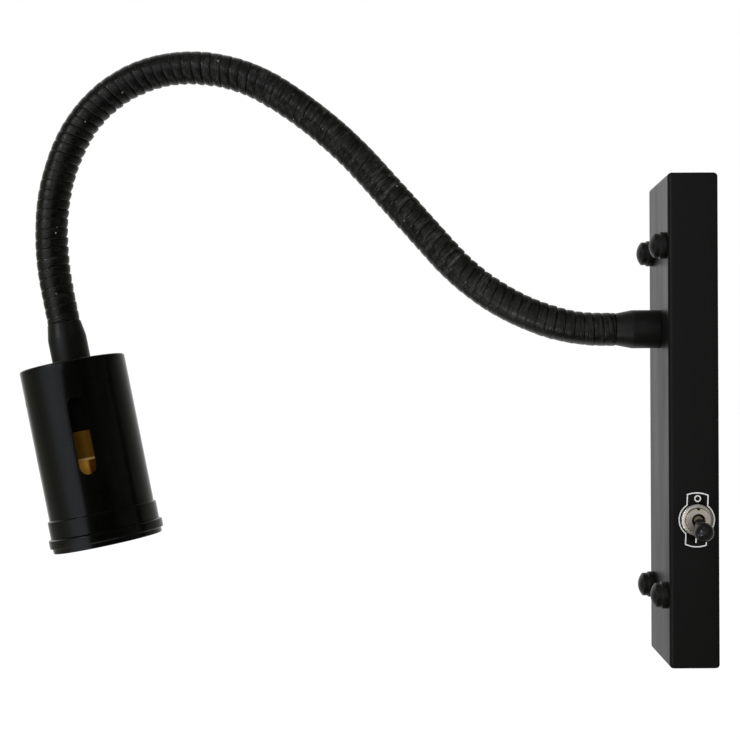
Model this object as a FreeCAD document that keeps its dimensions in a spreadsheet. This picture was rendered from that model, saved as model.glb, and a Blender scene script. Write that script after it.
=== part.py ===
# Wall lamp: a narrow steel box on the wall, a gooseneck and a cylindrical lamp cup.
# The row's frame has its origin at the centre of the box on the wall. +Z is up, +X points into the wall,
# the lamp reaches out along -X, and the toggle switch is on the side that faces -Y.
import FreeCAD, Part
import math
import os

import Sketcher
from FreeCAD import Placement, Rotation, Vector

# Driving dimensions, in millimetres and degrees. Each is written once, here.
SIZES = (
    ("box_height", 250, "housing, top to bottom"),
    ("box_width", 60, "housing, side to side"),
    ("box_depth", 25, "housing, wall to front"),
    ("box_wall", 1.5, "sheet of the housing"),
    ("box_bend", 2.2, "outer radius of the folds round the front"),
    ("box_corner", 2, "outer radius of the four welded corners"),
    ("bracket_side_gap", 3.5, "between the sides of the housing and the wall bracket"),
    ("bracket_end_gap", 7.5, "between the ends of the housing and the wall bracket"),
    ("bracket_sheet", 2, "sheet of the wall bracket"),
    ("bracket_corner", 4, "corner radius of the wall bracket"),
    ("wall_screw_apart", 150, "between the two wall screws"),
    ("wall_slot_width", 4.5, "slot for a wall screw"),
    ("wall_slot_length", 10, "slot for a wall screw, end to end"),
    ("cable_hole", 8, "radius of the bracket's hole for the mains cable"),
    ("cable_hole_height", 27, "mains cable hole above the middle"),
    ("stud_from_side", 9.2, "side of the housing to a stud"),
    ("stud_from_end", 36, "end of the housing to a stud"),
    ("stud_radius", 2, "threaded stud"),
    ("stud_reach", 6, "stud beyond the front of the housing"),
    ("hole_clearance", 0.25, "round a stud, nipple or bushing in a panel"),
    ("thread_clearance", 0.05, "between a thread and its nut"),
    ("collar_radius", 6.8, "collar under a cap nut"),
    ("collar_height", 3.1, "collar under a cap nut"),
    ("cap_radius", 6.1, "domed cap nut"),
    ("cap_side", 2.4, "straight side of the cap nut"),
    ("cap_dome", 3, "height of the cap nut's dome"),
    ("dome_ring_radius", 3.4, "cap nut, where its dome turns flatter"),
    ("dome_ring_height", 2.2, "straight side of the cap nut to that ring"),
    ("cap_bore_end", 0.6, "blind bore beyond the stud's tip"),
    ("block_length", 30, "terminal block, up and down"),
    ("block_width", 18, "terminal block, side to side"),
    ("block_height", 13, "terminal block, out from the bracket"),
    ("block_middle", 0, "terminal block above the middle"),
    ("pole_pitch", 10, "between poles of the terminal block"),
    ("pole_bore", 3.6, "square wire entry of a pole"),
    ("pole_well", 3.4, "square screw well of a pole"),
    ("pole_well_deep", 6, "depth of a screw well"),
    ("pole_bore_height", 4.5, "wire bore above the bracket"),
    ("neck_height", 47.4, "neck's exit above the middle"),
    ("nipple_radius", 5, "threaded end of the neck"),
    ("wire_bore", 3.6, "bore for the wires through the ferrules and the core"),
    ("nipple_inside", 8.5, "threaded end of the neck behind the front of the housing"),
    ("nipple_in_cup", 13, "threaded end of the neck below the top of the cup"),
    ("nut_wall", 2, "nut of a threaded end, from the thread to its flats"),
    ("nut_height", 3, "nut of a threaded end"),
    ("ferrule_radius", 10, "base ferrule"),
    ("ferrule_straight", 15, "straight part of the base ferrule"),
    ("ferrule_length", 23, "base ferrule"),
    ("ferrule_lip", 0.1, "hose beyond the end of the base ferrule"),
    ("head_ferrule_lip", 0.15, "head ferrule's end beyond the hose"),
    ("head_ferrule_radius", 9.85, "head ferrule at the cup"),
    ("head_ferrule_taper", 8, "length of the head ferrule's shoulder"),
    ("head_ferrule_length", 21.5, "head ferrule"),
    ("hose_radius", 8.5, "hose, over a rib"),
    ("rib_rise", 0.6, "rib above a groove"),
    ("rib_count", 88, "ribs from ferrule to ferrule"),
    ("rib_groove", 0.7, "length of the steep side of a groove"),
    ("hose_wall", 0.8, "hose, from its bore to a groove"),
    ("chord_stray", 0.35, "straight runs in the hose from its centre line, at most"),
    ("core_fit", 0.85, "between the hose and the corners of its holding core"),
    ("core_sides", 8, "sides of the holding core"),
    ("core_count", 9, "stretches of the core"),
    ("core_gap", 4.6, "between two stretches, where the neck bends"),
    ("cup_radius", 27.1, "lamp cup"),
    ("cup_wall", 1.2, "side wall of the cup"),
    ("cup_top", 1.5, "top wall of the cup"),
    ("cup_chamfer", 1, "broken top edge of the cup"),
    ("cup_length", 88.2, "cup without its mouth ring"),
    ("band_rise", 1.05, "band round the cup's lower end"),
    ("band_length", 9.2, "band round the cup's lower end"),
    ("slot_width", 8.4, "slot in the cup"),
    ("slot_length", 40, "slot in the cup, end to end"),
    ("slot_middle", 38.9, "top of the cup to the middle of the slot"),
    ("slot_turn", 8.4, "slot from straight sideways, towards the wall"),
    ("vent_radius", 1.4, "small hole in the side of the cup"),
    ("vent_depth", 17.4, "top of the cup to the small hole"),
    ("vent_turn", 78.3, "small hole round from the slot, towards the wall"),
    ("mouth_step_rise", 1.3, "step of the mouth ring beyond the band"),
    ("mouth_chamfer", 0.8, "above the step"),
    ("mouth_step", 4.2, "length of the step"),
    ("mouth_lip_rise", 0.05, "lip of the mouth ring beyond the band"),
    ("mouth_lip", 2.8, "length of the lip"),
    ("holder_top_gap", 0.3, "between the nut and the lampholder's cap"),
    ("holder_boss_wall", 3, "threaded boss on the lampholder's cap"),
    ("holder_cap_start", 12, "top of the cup to the shoulder of the lampholder's cap"),
    ("holder_cap_length", 24.4, "lampholder's cap below its shoulder"),
    ("holder_cap_step", 0.6, "brass shell beyond the lampholder's cap"),
    ("holder_cap_wall", 1.2, "wall of the lampholder's cap"),
    ("holder_radius", 20.4, "brass shell of the lampholder"),
    ("holder_wall", 0.8, "wall of the brass shell"),
    ("bead_from_cap", 14.7, "lampholder's cap to the shell's bead"),
    ("bead_width", 1.6, "bead round the shell"),
    ("bead_rise", 0.7, "bead round the shell"),
    ("holder_length", 40.8, "brass shell of the lampholder"),
    ("porcelain_fit", 0.3, "between the porcelain core and the brass shell"),
    ("porcelain_inset", 2.8, "lampholder's cap to the porcelain"),
    ("porcelain_base", 9.5, "porcelain above the floor of the socket"),
    ("porcelain_lip", 1, "brass shell beyond the porcelain"),
    ("thread_radius", 13.35, "inside of the threaded lamp shell"),
    ("thread_wall", 0.5, "wall of the threaded lamp shell"),
    ("thread_fit", 0.15, "between the lamp shell and the porcelain"),
    ("thread_rise", 5, "floor of the socket to the lamp shell"),
    ("thread_inset", 1.5, "lamp shell's lower end inside the socket"),
    ("contact_width", 6, "centre contact"),
    ("contact_sheet", 0.6, "centre contact"),
    ("contact_foot", 10, "foot of the centre contact, from the axis"),
    ("contact_rise", 3.5, "tip of the centre contact above the floor"),
    ("contact_tip", 2, "tip of the centre contact past the axis"),
    ("side_contact_foot", 8.5, "side contact, from the axis to its foot"),
    ("side_contact_reach", 0.45, "side contact beyond the inside of the lamp shell"),
    ("side_contact_width", 4, "side contact"),
    ("switch_height", -49.9, "switch above the middle"),
    ("switch_setback", 13.6, "switch behind the front of the housing"),
    ("plate_sheet", 0.6, "legend plate"),
    ("plate_length", 28.1, "legend plate, up and down"),
    ("plate_tab", 11.2, "width of the legend plate's tabs"),
    ("plate_rim", 1, "legend plate beyond the front nut"),
    ("bushing_radius", 6, "threaded bushing of the switch"),
    ("bushing_out", 5.6, "bushing beyond the side of the housing"),
    ("keyway_width", 1.6, "keyway of the bushing"),
    ("keyway_deep", 0.9, "keyway of the bushing"),
    ("ring_nut_wall", 2, "front nut of the switch"),
    ("ring_nut_height", 2.6, "front nut of the switch"),
    ("back_nut_wall", 1.5, "back nut of the switch, from the thread to its flats"),
    ("back_nut_height", 2.2, "back nut of the switch"),
    ("switch_top", 6, "side of the housing to the body of the switch"),
    ("switch_flange", 0.8, "metal cover of the switch body"),
    ("switch_long", 27, "body of the switch, up and down"),
    ("switch_wide", 16.5, "body of the switch, along the box's depth"),
    ("switch_deep", 18, "body of the switch, into the box"),
    ("switch_round", 1.2, "corner radius of the switch body"),
    ("blade_width", 4.8, "terminal blade of the switch"),
    ("blade_sheet", 0.8, "terminal blade of the switch"),
    ("blade_length", 7, "terminal blade of the switch"),
    ("blade_apart", 14, "between the terminal blades"),
    ("lever_pivot", 2.7, "pivot beyond the side of the housing"),
    ("lever_tilt", 16, "lever from straight out, either way"),
    ("lever_ball", 3.2, "brass ball at the lever's root"),
    ("ball_fit", 0.1, "between the ball and the bushing"),
    ("pin_radius", 0.8, "pivot pin through the ball"),
    ("pin_clearance", 0.06, "between the pivot pin and the ball"),
    ("pin_inset", 0.4, "end of the pivot pin below the bushing's thread"),
    ("lever_root", 2.25, "radius of the lever at its ball"),
    ("lever_rod", 1.4, "metal rod inside the lever's cap"),
    ("lever_rod_end", 12, "pivot to the end of the metal rod"),
    ("bat_start", 3.4, "pivot to the lever's cap"),
    ("bat_ball", 4.85, "ball end of the lever's cap"),
    ("bat_middle", 16.6, "pivot to the middle of the ball end"),
)

# Sizes that follow from those above, so that what fits together stays together
FOLLOWING = (
    ("bracket_width", "box_width - 2 * box_wall - 2 * bracket_side_gap", "wall bracket"),
    ("bracket_height", "box_height - 2 * box_wall - 2 * bracket_end_gap", "wall bracket"),
    ("stud_across", "box_width - 2 * stud_from_side", "between studs, side to side"),
    ("stud_apart", "box_height - 2 * stud_from_end", "between studs, top to bottom"),
    ("nut_across", "2 * nipple_radius + 2 * nut_wall", "nut of a threaded end, across its flats"),
    ("rib_root", "hose_radius - rib_rise", "radius of the hose in a groove"),
    ("hose_bore", "rib_root - hose_wall", "bore of the hose"),
    ("core_radius", "hose_bore - core_fit", "holding core, over its corners"),
    ("ferrule_mouth", "hose_radius - ferrule_lip", "radius of the base ferrule's end"),
    ("head_ferrule_mouth", "hose_radius + head_ferrule_lip", "radius of the head ferrule's end"),
    ("band_radius", "cup_radius + band_rise", "band round the cup's lower end"),
    ("band_start", "cup_length - band_length", "top of the cup to the band"),
    ("mouth_step_radius", "band_radius + mouth_step_rise", "step of the mouth ring"),
    ("mouth_lip_radius", "band_radius + mouth_lip_rise", "lip of the mouth ring"),
    ("holder_cap_radius", "holder_radius - holder_cap_step", "lampholder's cap"),
    ("holder_boss_radius", "nipple_radius + holder_boss_wall", "threaded boss on the lampholder's cap"),
    ("holder_cap_end", "holder_cap_start + holder_cap_length", "top of the cup to the cap's end"),
    ("holder_end", "holder_cap_end + holder_length", "top of the cup to the end of the shell"),
    ("bead_middle", "holder_cap_end + bead_from_cap", "top of the cup to the shell's bead"),
    ("porcelain_radius", "holder_radius - holder_wall - porcelain_fit", "porcelain core"),
    ("porcelain_start", "holder_cap_end + porcelain_inset", "top of the cup to the porcelain"),
    ("porcelain_floor", "porcelain_start + porcelain_base", "top of the cup to the socket's floor"),
    ("porcelain_end", "holder_end - porcelain_lip", "top of the cup to the porcelain's end"),
    ("thread_start", "porcelain_floor + thread_rise", "top of the cup to the lamp shell"),
    ("thread_end", "porcelain_end - thread_inset", "top of the cup to the lamp shell's end"),
    ("side_contact_out", "thread_radius + side_contact_reach", "side contact, from the axis"),
    ("ring_nut_radius", "bushing_radius + ring_nut_wall", "front nut of the switch"),
    ("plate_disc", "ring_nut_radius + plate_rim", "radius of the legend plate's disc"),
    ("back_nut_across", "2 * bushing_radius + 2 * back_nut_wall", "back nut, across its flats"),
    ("bushing_bore", "lever_ball + ball_fit", "bore of the bushing"),
)

# The hose's bends, from the box to the lamp: each a length along its centre line and its turn, in degrees.
# Its two ends run straight for one hose diameter.
BENDS = (
    ("exit", 8, 0),
    ("drop", 22, -15.3),
    ("climb", 71, -33),
    ("slope", 58, 0),
    ("crest", 66.5, 16.7),
    ("shoulder", 49, 33.7),
    ("crown", 71, 59.9),
    ("fall", 46.5, 25.7),
    ("hang", 35.6, 13.4),
    ("entry", 17.5, 0),
)

doc = FreeCAD.newDocument("wall_lamp")
sheet = doc.addObject("Spreadsheet::Sheet", "Sizes")
rows = list(SIZES)
rows += [(alias, "=" + formula, meaning) for alias, formula, meaning in FOLLOWING]
for bend, length, turn in BENDS:
    rows.append((bend + "_length", length, "hose, along its " + bend))
    rows.append((bend + "_turn", turn, "hose, turn of its " + bend))
for row, (alias, value, meaning) in enumerate(rows, 1):
    sheet.set(f"A{row}", meaning)
    sheet.set(f"B{row}", str(value))
    sheet.setAlias(f"B{row}", alias)
doc.recompute()


def size(alias):
    """The value of one of the sheet's sizes."""
    return float(getattr(sheet, alias))


def cells(text):
    """An expression on the sheet: every word in text that is one of its sizes is read from there."""
    words = []
    for word in text.split():
        words.append("Sizes." + word if hasattr(sheet, word) else word)
    return " ".join(words)


def value_of(text):
    """What an expression on the sheet comes to."""
    names = {word: size(word) for word in text.split() if hasattr(sheet, word)}
    total = text
    for word in sorted(names, key=len, reverse=True):
        total = total.replace(word, repr(names[word]))
    return float(FreeCAD.Units.Quantity(total.replace(" ", "")).Value)


# Sketches, pads, pockets and turned bodies
def plane(body, role):
    """One of a body's own origin planes."""
    return next(feature for feature in body.Origin.OriginFeatures if feature.Role == role)


def new_body(name):
    body = doc.addObject("PartDesign::Body", name)
    body.Label = name
    return body


def new_sketch(body, role, name):
    sketch = body.newObject("Sketcher::SketchObject", name)
    sketch.AttachmentSupport = [(plane(body, role), "")]
    sketch.MapMode = "FlatFace"
    return sketch


def bind(sketch, kind, *where, to):
    """A dimension of a sketch that follows an expression on the sheet."""
    number = sketch.addConstraint(Sketcher.Constraint(kind, *where, value_of(to)))
    sketch.setExpression(f"Constraints[{number}]", cells(to))


def pin_point(sketch, edge, point, across, up):
    """Puts a point of a sketch at two expressions, measured from the sketch's origin."""
    for text, kind, axis in ((across, "DistanceX", -2), (up, "DistanceY", -1)):
        if text == "0":
            sketch.addConstraint(Sketcher.Constraint("PointOnObject", edge, point, axis))
        else:
            bind(sketch, kind, -1, 1, edge, point, to=text)


def outline(sketch, points):
    """A closed outline of straight edges through points, each a pair of expressions."""
    places = [Vector(value_of(x), value_of(y), 0) for x, y in points]
    for number, start in enumerate(places):
        end = places[(number + 1) % len(places)]
        sketch.addGeometry(Part.LineSegment(start, end), False)
    for number in range(len(places)):
        joined = (number, 2, (number + 1) % len(places), 1)
        sketch.addConstraint(Sketcher.Constraint("Coincident", *joined))
    for number, (across, up) in enumerate(points):
        pin_point(sketch, number, 1, across, up)


def rectangle(sketch, across, up, middle_up="0"):
    """A rectangle of these sizes, centred across and at a height."""
    low, high = f"{middle_up} - ( {up} ) / 2", f"{middle_up} + ( {up} ) / 2"
    left, right = f"0 - ( {across} ) / 2", f"( {across} ) / 2"
    outline(sketch, [(left, low), (right, low), (right, high), (left, high)])


def circle(sketch, across, up, radius):
    number = sketch.addGeometry(
        Part.Circle(Vector(value_of(across), value_of(up), 0), Vector(0, 0, 1), value_of(radius)), False
    )
    pin_point(sketch, number, 3, across, up)
    bind(sketch, "Radius", number, to=radius)


def obround(sketch, across, up, width, length):
    """A slot with round ends that runs up and down, centred at across and up."""
    x, y = value_of(across), value_of(up)
    r, half = value_of(width) / 2, (value_of(length) - value_of(width)) / 2
    top, low = Vector(x, y + half, 0), Vector(x, y - half, 0)
    side = Vector(r, 0, 0)
    normal = Vector(0, 0, 1)
    first = sketch.addGeometry(Part.ArcOfCircle(Part.Circle(top, normal, r), 0, math.pi), False)
    sketch.addGeometry(Part.LineSegment(top - side, low - side), False)
    sketch.addGeometry(Part.ArcOfCircle(Part.Circle(low, normal, r), math.pi, 2 * math.pi), False)
    sketch.addGeometry(Part.LineSegment(low + side, top + side), False)
    for number in range(4):
        joined = (first + number, 2, first + (number + 1) % 4, 1)
        sketch.addConstraint(Sketcher.Constraint("Tangent", *joined))
    half_run = f"( {length} - {width} ) / 2"
    pin_point(sketch, first, 3, across, f"{up} + {half_run}")
    pin_point(sketch, first + 2, 3, across, f"{up} - {half_run}")
    bind(sketch, "Radius", first, to=f"{width} / 2")


def pad(body, sketch, length, reverse=False):
    feature = body.newObject("PartDesign::Pad", sketch.Name + "_pad")
    feature.Profile = sketch
    feature.Reversed = reverse
    feature.setExpression("Length", cells(length))
    doc.recompute()
    return feature


def pocket(body, sketch, length, reverse=False):
    """Cuts a sketch out of its body, and makes sure that it cut something."""
    before = body.Shape.Volume
    feature = body.newObject("PartDesign::Pocket", sketch.Name + "_pocket")
    feature.Profile = sketch
    feature.Reversed = reverse
    feature.setExpression("Length", cells(length))
    doc.recompute()
    if not body.Shape.Volume < before:
        raise RuntimeError(f"{sketch.Name} cuts nothing out of {body.Name}")
    return feature


def turned(name, points):
    """A body turned about its own Z axis from an outline of radius and height."""
    body = new_body(name)
    sketch = new_sketch(body, "XZ_Plane", name + "_profile")
    outline(sketch, points)
    feature = body.newObject("PartDesign::Revolution", name + "_turned")
    feature.Profile = sketch
    feature.ReferenceAxis = (sketch, ["V_Axis"])
    feature.Angle = 360
    doc.recompute()
    return body


def ring(name, bore, radius, start, end):
    """A turned ring from start to end."""
    return turned(name, [(bore, start), (radius, start), (radius, end), (bore, end)])


def edges_where(shape, keep):
    """The names of a shape's edges whose ends both pass a test."""
    return [
        f"Edge{number}"
        for number, edge in enumerate(shape.Edges, 1)
        if all(keep(vertex.Point) for vertex in edge.Vertexes)
    ]


def fillet(body, base, edges, radius):
    feature = body.newObject("PartDesign::Fillet", f"{base.Name}_fillet")
    feature.Base = (base, edges)
    feature.setExpression("Radius", cells(radius))
    doc.recompute()
    return feature


# Plain solids and their combinations
def cylinder(name, radius, height, place=Placement()):
    solid = doc.addObject("Part::Cylinder", name)
    solid.setExpression("Radius", cells(radius))
    solid.setExpression("Height", cells(height))
    solid.Placement = place
    return solid


def block(name, along, across, up, place=Placement()):
    """A box of these three sizes. place puts its lowest corner."""
    solid = doc.addObject("Part::Box", name)
    solid.setExpression("Length", cells(along))
    solid.setExpression("Width", cells(across))
    solid.setExpression("Height", cells(up))
    solid.Placement = place
    return solid


def hexagon(name, across_flats, height, place=Placement()):
    solid = doc.addObject("Part::Prism", name)
    solid.Polygon = 6
    solid.setExpression("Circumradius", cells(f"{across_flats} / 1.7320508"))
    solid.setExpression("Height", cells(height))
    solid.Placement = place
    return solid


def cut(name, base, tool):
    made = doc.addObject("Part::Cut", name)
    made.Base, made.Tool = base, tool
    made.Label = name
    return made


def fuse(name, *solids):
    made = doc.addObject("Part::MultiFuse", name)
    made.Shapes = list(solids)
    made.Refine = True
    made.Label = name
    return made


def common(name, first, second):
    made = doc.addObject("Part::Common", name)
    made.Base, made.Tool = first, second
    made.Label = name
    return made


def compound(name, *solids):
    made = doc.addObject("Part::Compound", name)
    made.Links = list(solids)
    made.Label = name
    return made


def mirrored(name, source, normal):
    made = doc.addObject("Part::Mirroring", name)
    made.Source = source
    made.Normal = normal
    return made


def four_of(name, source):
    """A fastener in all four corners of the housing, mirrored from the one at the top on the side of +Y."""
    low = mirrored(name + "_low", source, Vector(0, 0, 1))
    other = mirrored(name + "_other", source, Vector(0, 1, 0))
    low_other = mirrored(name + "_low_other", other, Vector(0, 0, 1))
    return compound(name, source, low, other, low_other)


def at(x, y, z, rotation=Rotation()):
    return Placement(Vector(x, y, z), rotation)


# Placements: the parts that are turned about Z lie along these axes
OUTWARDS = Rotation(Vector(0, 1, 0), -90)
SIDEWAYS = Rotation(Vector(1, 0, 0), 90)
parts = {}


def keep(node, made, place=None):
    """Lists a finished object as one of the lamp's pieces."""
    if place is not None:
        made.Placement = place
    parts[node] = made
    return made


# The housing: one sheet folded round its front, welded at the corners and open to the wall
housing = new_body("housing_box")
box_sketch = new_sketch(housing, "YZ_Plane", "box_face")
rectangle(box_sketch, "box_width", "box_height")
box_pad = pad(housing, box_sketch, "box_depth", reverse=True)
front = -size("box_depth")
half_width, half_height = size("box_width") / 2, size("box_height") / 2
NEAR = 1e-6
corner_edges = [
    name
    for name in edges_where(box_pad.Shape, lambda p: abs(abs(p.y) - half_width) < NEAR)
    if abs(box_pad.Shape.getElement(name).BoundBox.XLength - size("box_depth")) < NEAR
]
box_corners = fillet(housing, box_pad, corner_edges, "box_corner")
front_edges = edges_where(box_corners.Shape, lambda p: abs(p.x - front) < NEAR)
box_folds = fillet(housing, box_corners, front_edges, "box_bend")
box_room = new_sketch(housing, "YZ_Plane", "box_room")
rectangle(box_room, "box_width - 2 * box_wall", "box_height - 2 * box_wall")
box_hollow = pocket(housing, box_room, "box_depth - box_wall")
inside = front + size("box_wall")
inner_edges = edges_where(box_hollow.Shape, lambda p: abs(p.x - inside) < NEAR)
fillet(housing, box_hollow, inner_edges, "box_bend - box_wall")
box_holes = new_sketch(housing, "YZ_Plane", "box_holes")
for side in ("0 - stud_across / 2", "stud_across / 2"):
    for level in ("0 - stud_apart / 2", "stud_apart / 2"):
        circle(box_holes, side, level, "stud_radius + hole_clearance")
circle(box_holes, "0", "neck_height", "nipple_radius + hole_clearance")
pocket(housing, box_holes, "box_depth + box_wall")
switch_hole = new_sketch(housing, "XZ_Plane", "switch_hole")
circle(switch_hole, "switch_setback - box_depth", "switch_height", "bushing_radius + hole_clearance")
pocket(housing, switch_hole, "box_width / 2 + box_wall", reverse=True)
keep("housing_box", housing)

# The wall bracket, a flat plate with four studs pressed into it
bracket = new_body("wall_bracket")
bracket_face = new_sketch(bracket, "YZ_Plane", "bracket_face")
rectangle(bracket_face, "bracket_width", "bracket_height")
bracket_pad = pad(bracket, bracket_face, "bracket_sheet", reverse=True)
bracket_corners = [
    name
    for name in edges_where(bracket_pad.Shape, lambda p: True)
    if abs(bracket_pad.Shape.getElement(name).BoundBox.XLength - size("bracket_sheet")) < NEAR
]
fillet(bracket, bracket_pad, bracket_corners, "bracket_corner")
bracket_holes = new_sketch(bracket, "YZ_Plane", "bracket_holes")
for level in ("0 - wall_screw_apart / 2", "wall_screw_apart / 2"):
    obround(bracket_holes, "0", level, "wall_slot_width", "wall_slot_length")
circle(bracket_holes, "0", "cable_hole_height", "cable_hole")
pocket(bracket, bracket_holes, "bracket_sheet + box_wall")
keep("wall_bracket", bracket)

# The studs run from the bracket through the front of the housing
stud_place = at(-size("bracket_sheet"), size("stud_across") / 2, size("stud_apart") / 2, OUTWARDS)
stud = cylinder("stud", "stud_radius", "box_depth - bracket_sheet + stud_reach", stud_place)
keep("bracket_studs", four_of("bracket_studs", stud))

# The domed cap nuts, each with a wider collar that presses on the front
nut_place = at(front, size("stud_across") / 2, size("stud_apart") / 2, OUTWARDS)
cap_top = "collar_height + cap_side"
cap_nut = turned(
    "cap_nut",
    [
        ("stud_radius + thread_clearance", "0"),
        ("collar_radius", "0"),
        ("collar_radius", "collar_height"),
        ("cap_radius", "collar_height"),
        ("cap_radius", cap_top),
        ("dome_ring_radius", f"{cap_top} + dome_ring_height"),
        ("0", f"{cap_top} + cap_dome"),
        ("0", "stud_reach + cap_bore_end"),
        ("stud_radius + thread_clearance", "stud_reach + cap_bore_end"),
    ],
)
cap_nut.Placement = nut_place
keep("cap_nuts", four_of("cap_nuts", cap_nut))

# The terminal block on the bracket: a moulded bar with a wire way and a screw well for each pole
terminal_bar = block("terminal_bar", "block_height", "block_width", "block_length")
terminal_bar.Placement = at(-size("block_height"), -size("block_width") / 2, -size("block_length") / 2)
ways = []
for number, step in enumerate((-1, 0, 1), 1):
    level = step * size("pole_pitch")
    way = block(
        f"wire_way_{number}",
        "pole_bore",
        "block_width",
        "pole_bore",
        at(
            -size("pole_bore_height") - size("pole_bore") / 2,
            -size("block_width") / 2,
            level - size("pole_bore") / 2,
        ),
    )
    well = block(
        f"screw_well_{number}",
        "pole_well_deep",
        "pole_well",
        "pole_well",
        at(-size("block_height"), -size("pole_well") / 2, level - size("pole_well") / 2),
    )
    ways += [way, well]
terminal_block = cut("terminal_block", terminal_bar, fuse("terminal_ways", *ways))
keep("terminal_block", terminal_block, at(-size("bracket_sheet"), 0, size("block_middle")))

# The base ferrule: its threaded end goes through the front of the housing and is held by a nut behind it
base_place = at(front, 0, size("neck_height"), OUTWARDS)
nipple_hole = "nipple_radius + thread_clearance"
base_ferrule = turned(
    "base_ferrule",
    [
        ("wire_bore", "0 - nipple_inside"),
        ("nipple_radius", "0 - nipple_inside"),
        ("nipple_radius", "0"),
        ("ferrule_radius", "0"),
        ("ferrule_radius", "ferrule_straight"),
        ("ferrule_mouth", "ferrule_length"),
        ("wire_bore", "ferrule_length"),
    ],
)
keep("base_ferrule", base_ferrule, base_place)


def thin_nut(name):
    """A thin hexagon nut that stands on the plane Z = 0."""
    flats = hexagon(name + "_flats", "nut_across", "nut_height")
    return cut(name, flats, cylinder(name + "_bore", nipple_hole, "nut_height"))


base_nut = thin_nut("base_nut")
keep("base_nut", base_nut, base_place * at(0, 0, -size("box_wall") - size("nut_height")))

# The hose's centre line: straight runs and arcs in the plane Y = 0, each tangent to the one before
hose_start = Vector(front - size("ferrule_length"), 0, size("neck_height"))
bends = [(size(name + "_length"), size(name + "_turn")) for name, length, turn in BENDS]
hose_length = sum(length for length, turn in bends)


def neck_place(along):
    """The placement at a distance along the hose: Z runs on along it, and Y is the row's Y."""
    x, z, heading = hose_start.x, hose_start.z, math.pi
    left = along
    for length, turn in bends:
        run = min(left, length)
        bend = math.radians(turn) / length * run
        middle = heading + bend / 2
        chord = run * (math.sin(bend / 2) / (bend / 2) if bend else 1)
        x += chord * math.cos(middle)
        z += chord * math.sin(middle)
        heading += bend
        left -= run
    x += left * math.cos(heading)
    z += left * math.sin(heading)
    return Placement(Vector(x, 0, z), Rotation(Vector(0, 1, 0), 90 - math.degrees(heading)))


def round_at(along, radius):
    """A circle square to the hose's centre line. Its X axis stays in the plane of the neck."""
    wire = Part.Wire([Part.makeCircle(radius)])
    wire.Placement = neck_place(along)
    return wire


def ruled_tube(stations):
    """A solid of straight runs through circles, each a distance along the hose and a radius."""
    return Part.makeLoft([round_at(along, radius) for along, radius in stations], True, True)


# The ribbed sleeve: each rib falls away along its length and ends in the steep side of a groove
rib_pitch = hose_length / int(size("rib_count"))
ribs = []
for rib in range(int(size("rib_count"))):
    ribs.append((rib * rib_pitch, size("hose_radius")))
    ribs.append(((rib + 1) * rib_pitch - size("rib_groove"), size("rib_root")))
ribs.append((hose_length, size("hose_radius")))


def stations_between(start, end, turn):
    """Stations whose straight runs stray little from an arc that turns by turn, in radians."""
    runs = max(1, math.ceil(math.sqrt((end - start) * turn / (8 * size("chord_stray")))))
    return [start + (end - start) * run / runs for run in range(runs + 1)]


# Its bore runs straight from station to station
bore_stations = [-size("core_gap")]
along = 0
for length, turn in bends:
    bore_stations += stations_between(along, along + length, math.radians(abs(turn)))[:-1]
    along += length
bore_stations += [hose_length, hose_length + size("core_gap")]
bore = ruled_tube([(station, size("hose_bore")) for station in bore_stations])
sleeve = doc.addObject("Part::Feature", "neck_sleeve")
sleeve.Label = "neck_sleeve"
sleeve.Shape = ruled_tube(ribs).cut(bore).Solids[0]
keep("neck_sleeve", sleeve)


# The holding core, in faceted stretches that turn on each other in the gaps between them
def polygon_at(along, corner):
    """A regular polygon square to the hose's centre line, this far from it at its corners."""
    step = 2 * math.pi / size("core_sides")
    angles = [step * (number + 0.5) for number in range(int(size("core_sides")) + 1)]
    wire = Part.makePolygon([Vector(corner * math.cos(a), corner * math.sin(a), 0) for a in angles])
    wire.Placement = neck_place(along)
    return wire


core_pitch = hose_length / int(size("core_count"))
last = int(size("core_count")) - 1
for number in range(last + 1):
    start = number * core_pitch + (size("core_gap") / 2 if number else 0)
    end = (number + 1) * core_pitch - (size("core_gap") / 2 if number < last else 0)
    turn = neck_place(start).Rotation.inverted() * neck_place(end).Rotation
    stations = stations_between(start, end, turn.Angle)
    past = size("core_gap") / 4
    ways = [start - past] + stations[1:-1] + [end + past]
    solid = Part.makeLoft([polygon_at(a, size("core_radius")) for a in stations], True, True)
    hollow = Part.makeLoft([polygon_at(a, size("wire_bore")) for a in ways], True, True)
    name = f"neck_core_{number + 1}"
    core = doc.addObject("Part::Feature", name)
    core.Label = name
    core.Shape = solid.cut(hollow).Solids[0]
    keep(name, core)

# The head ferrule: its threaded end goes through the top of the cup into the lampholder's cap
neck_end = neck_place(hose_length)
cup_place = neck_end * at(0, 0, size("head_ferrule_length"))
head_ferrule = turned(
    "head_ferrule",
    [
        ("wire_bore", "0"),
        ("head_ferrule_mouth", "0"),
        ("head_ferrule_radius", "head_ferrule_taper"),
        ("head_ferrule_radius", "head_ferrule_length"),
        ("nipple_radius", "head_ferrule_length"),
        ("nipple_radius", "head_ferrule_length + nipple_in_cup"),
        ("wire_bore", "head_ferrule_length + nipple_in_cup"),
    ],
)
keep("head_ferrule", head_ferrule, neck_end)
keep("head_nut", thin_nut("head_nut"), cup_place * at(0, 0, size("cup_top")))

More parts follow.
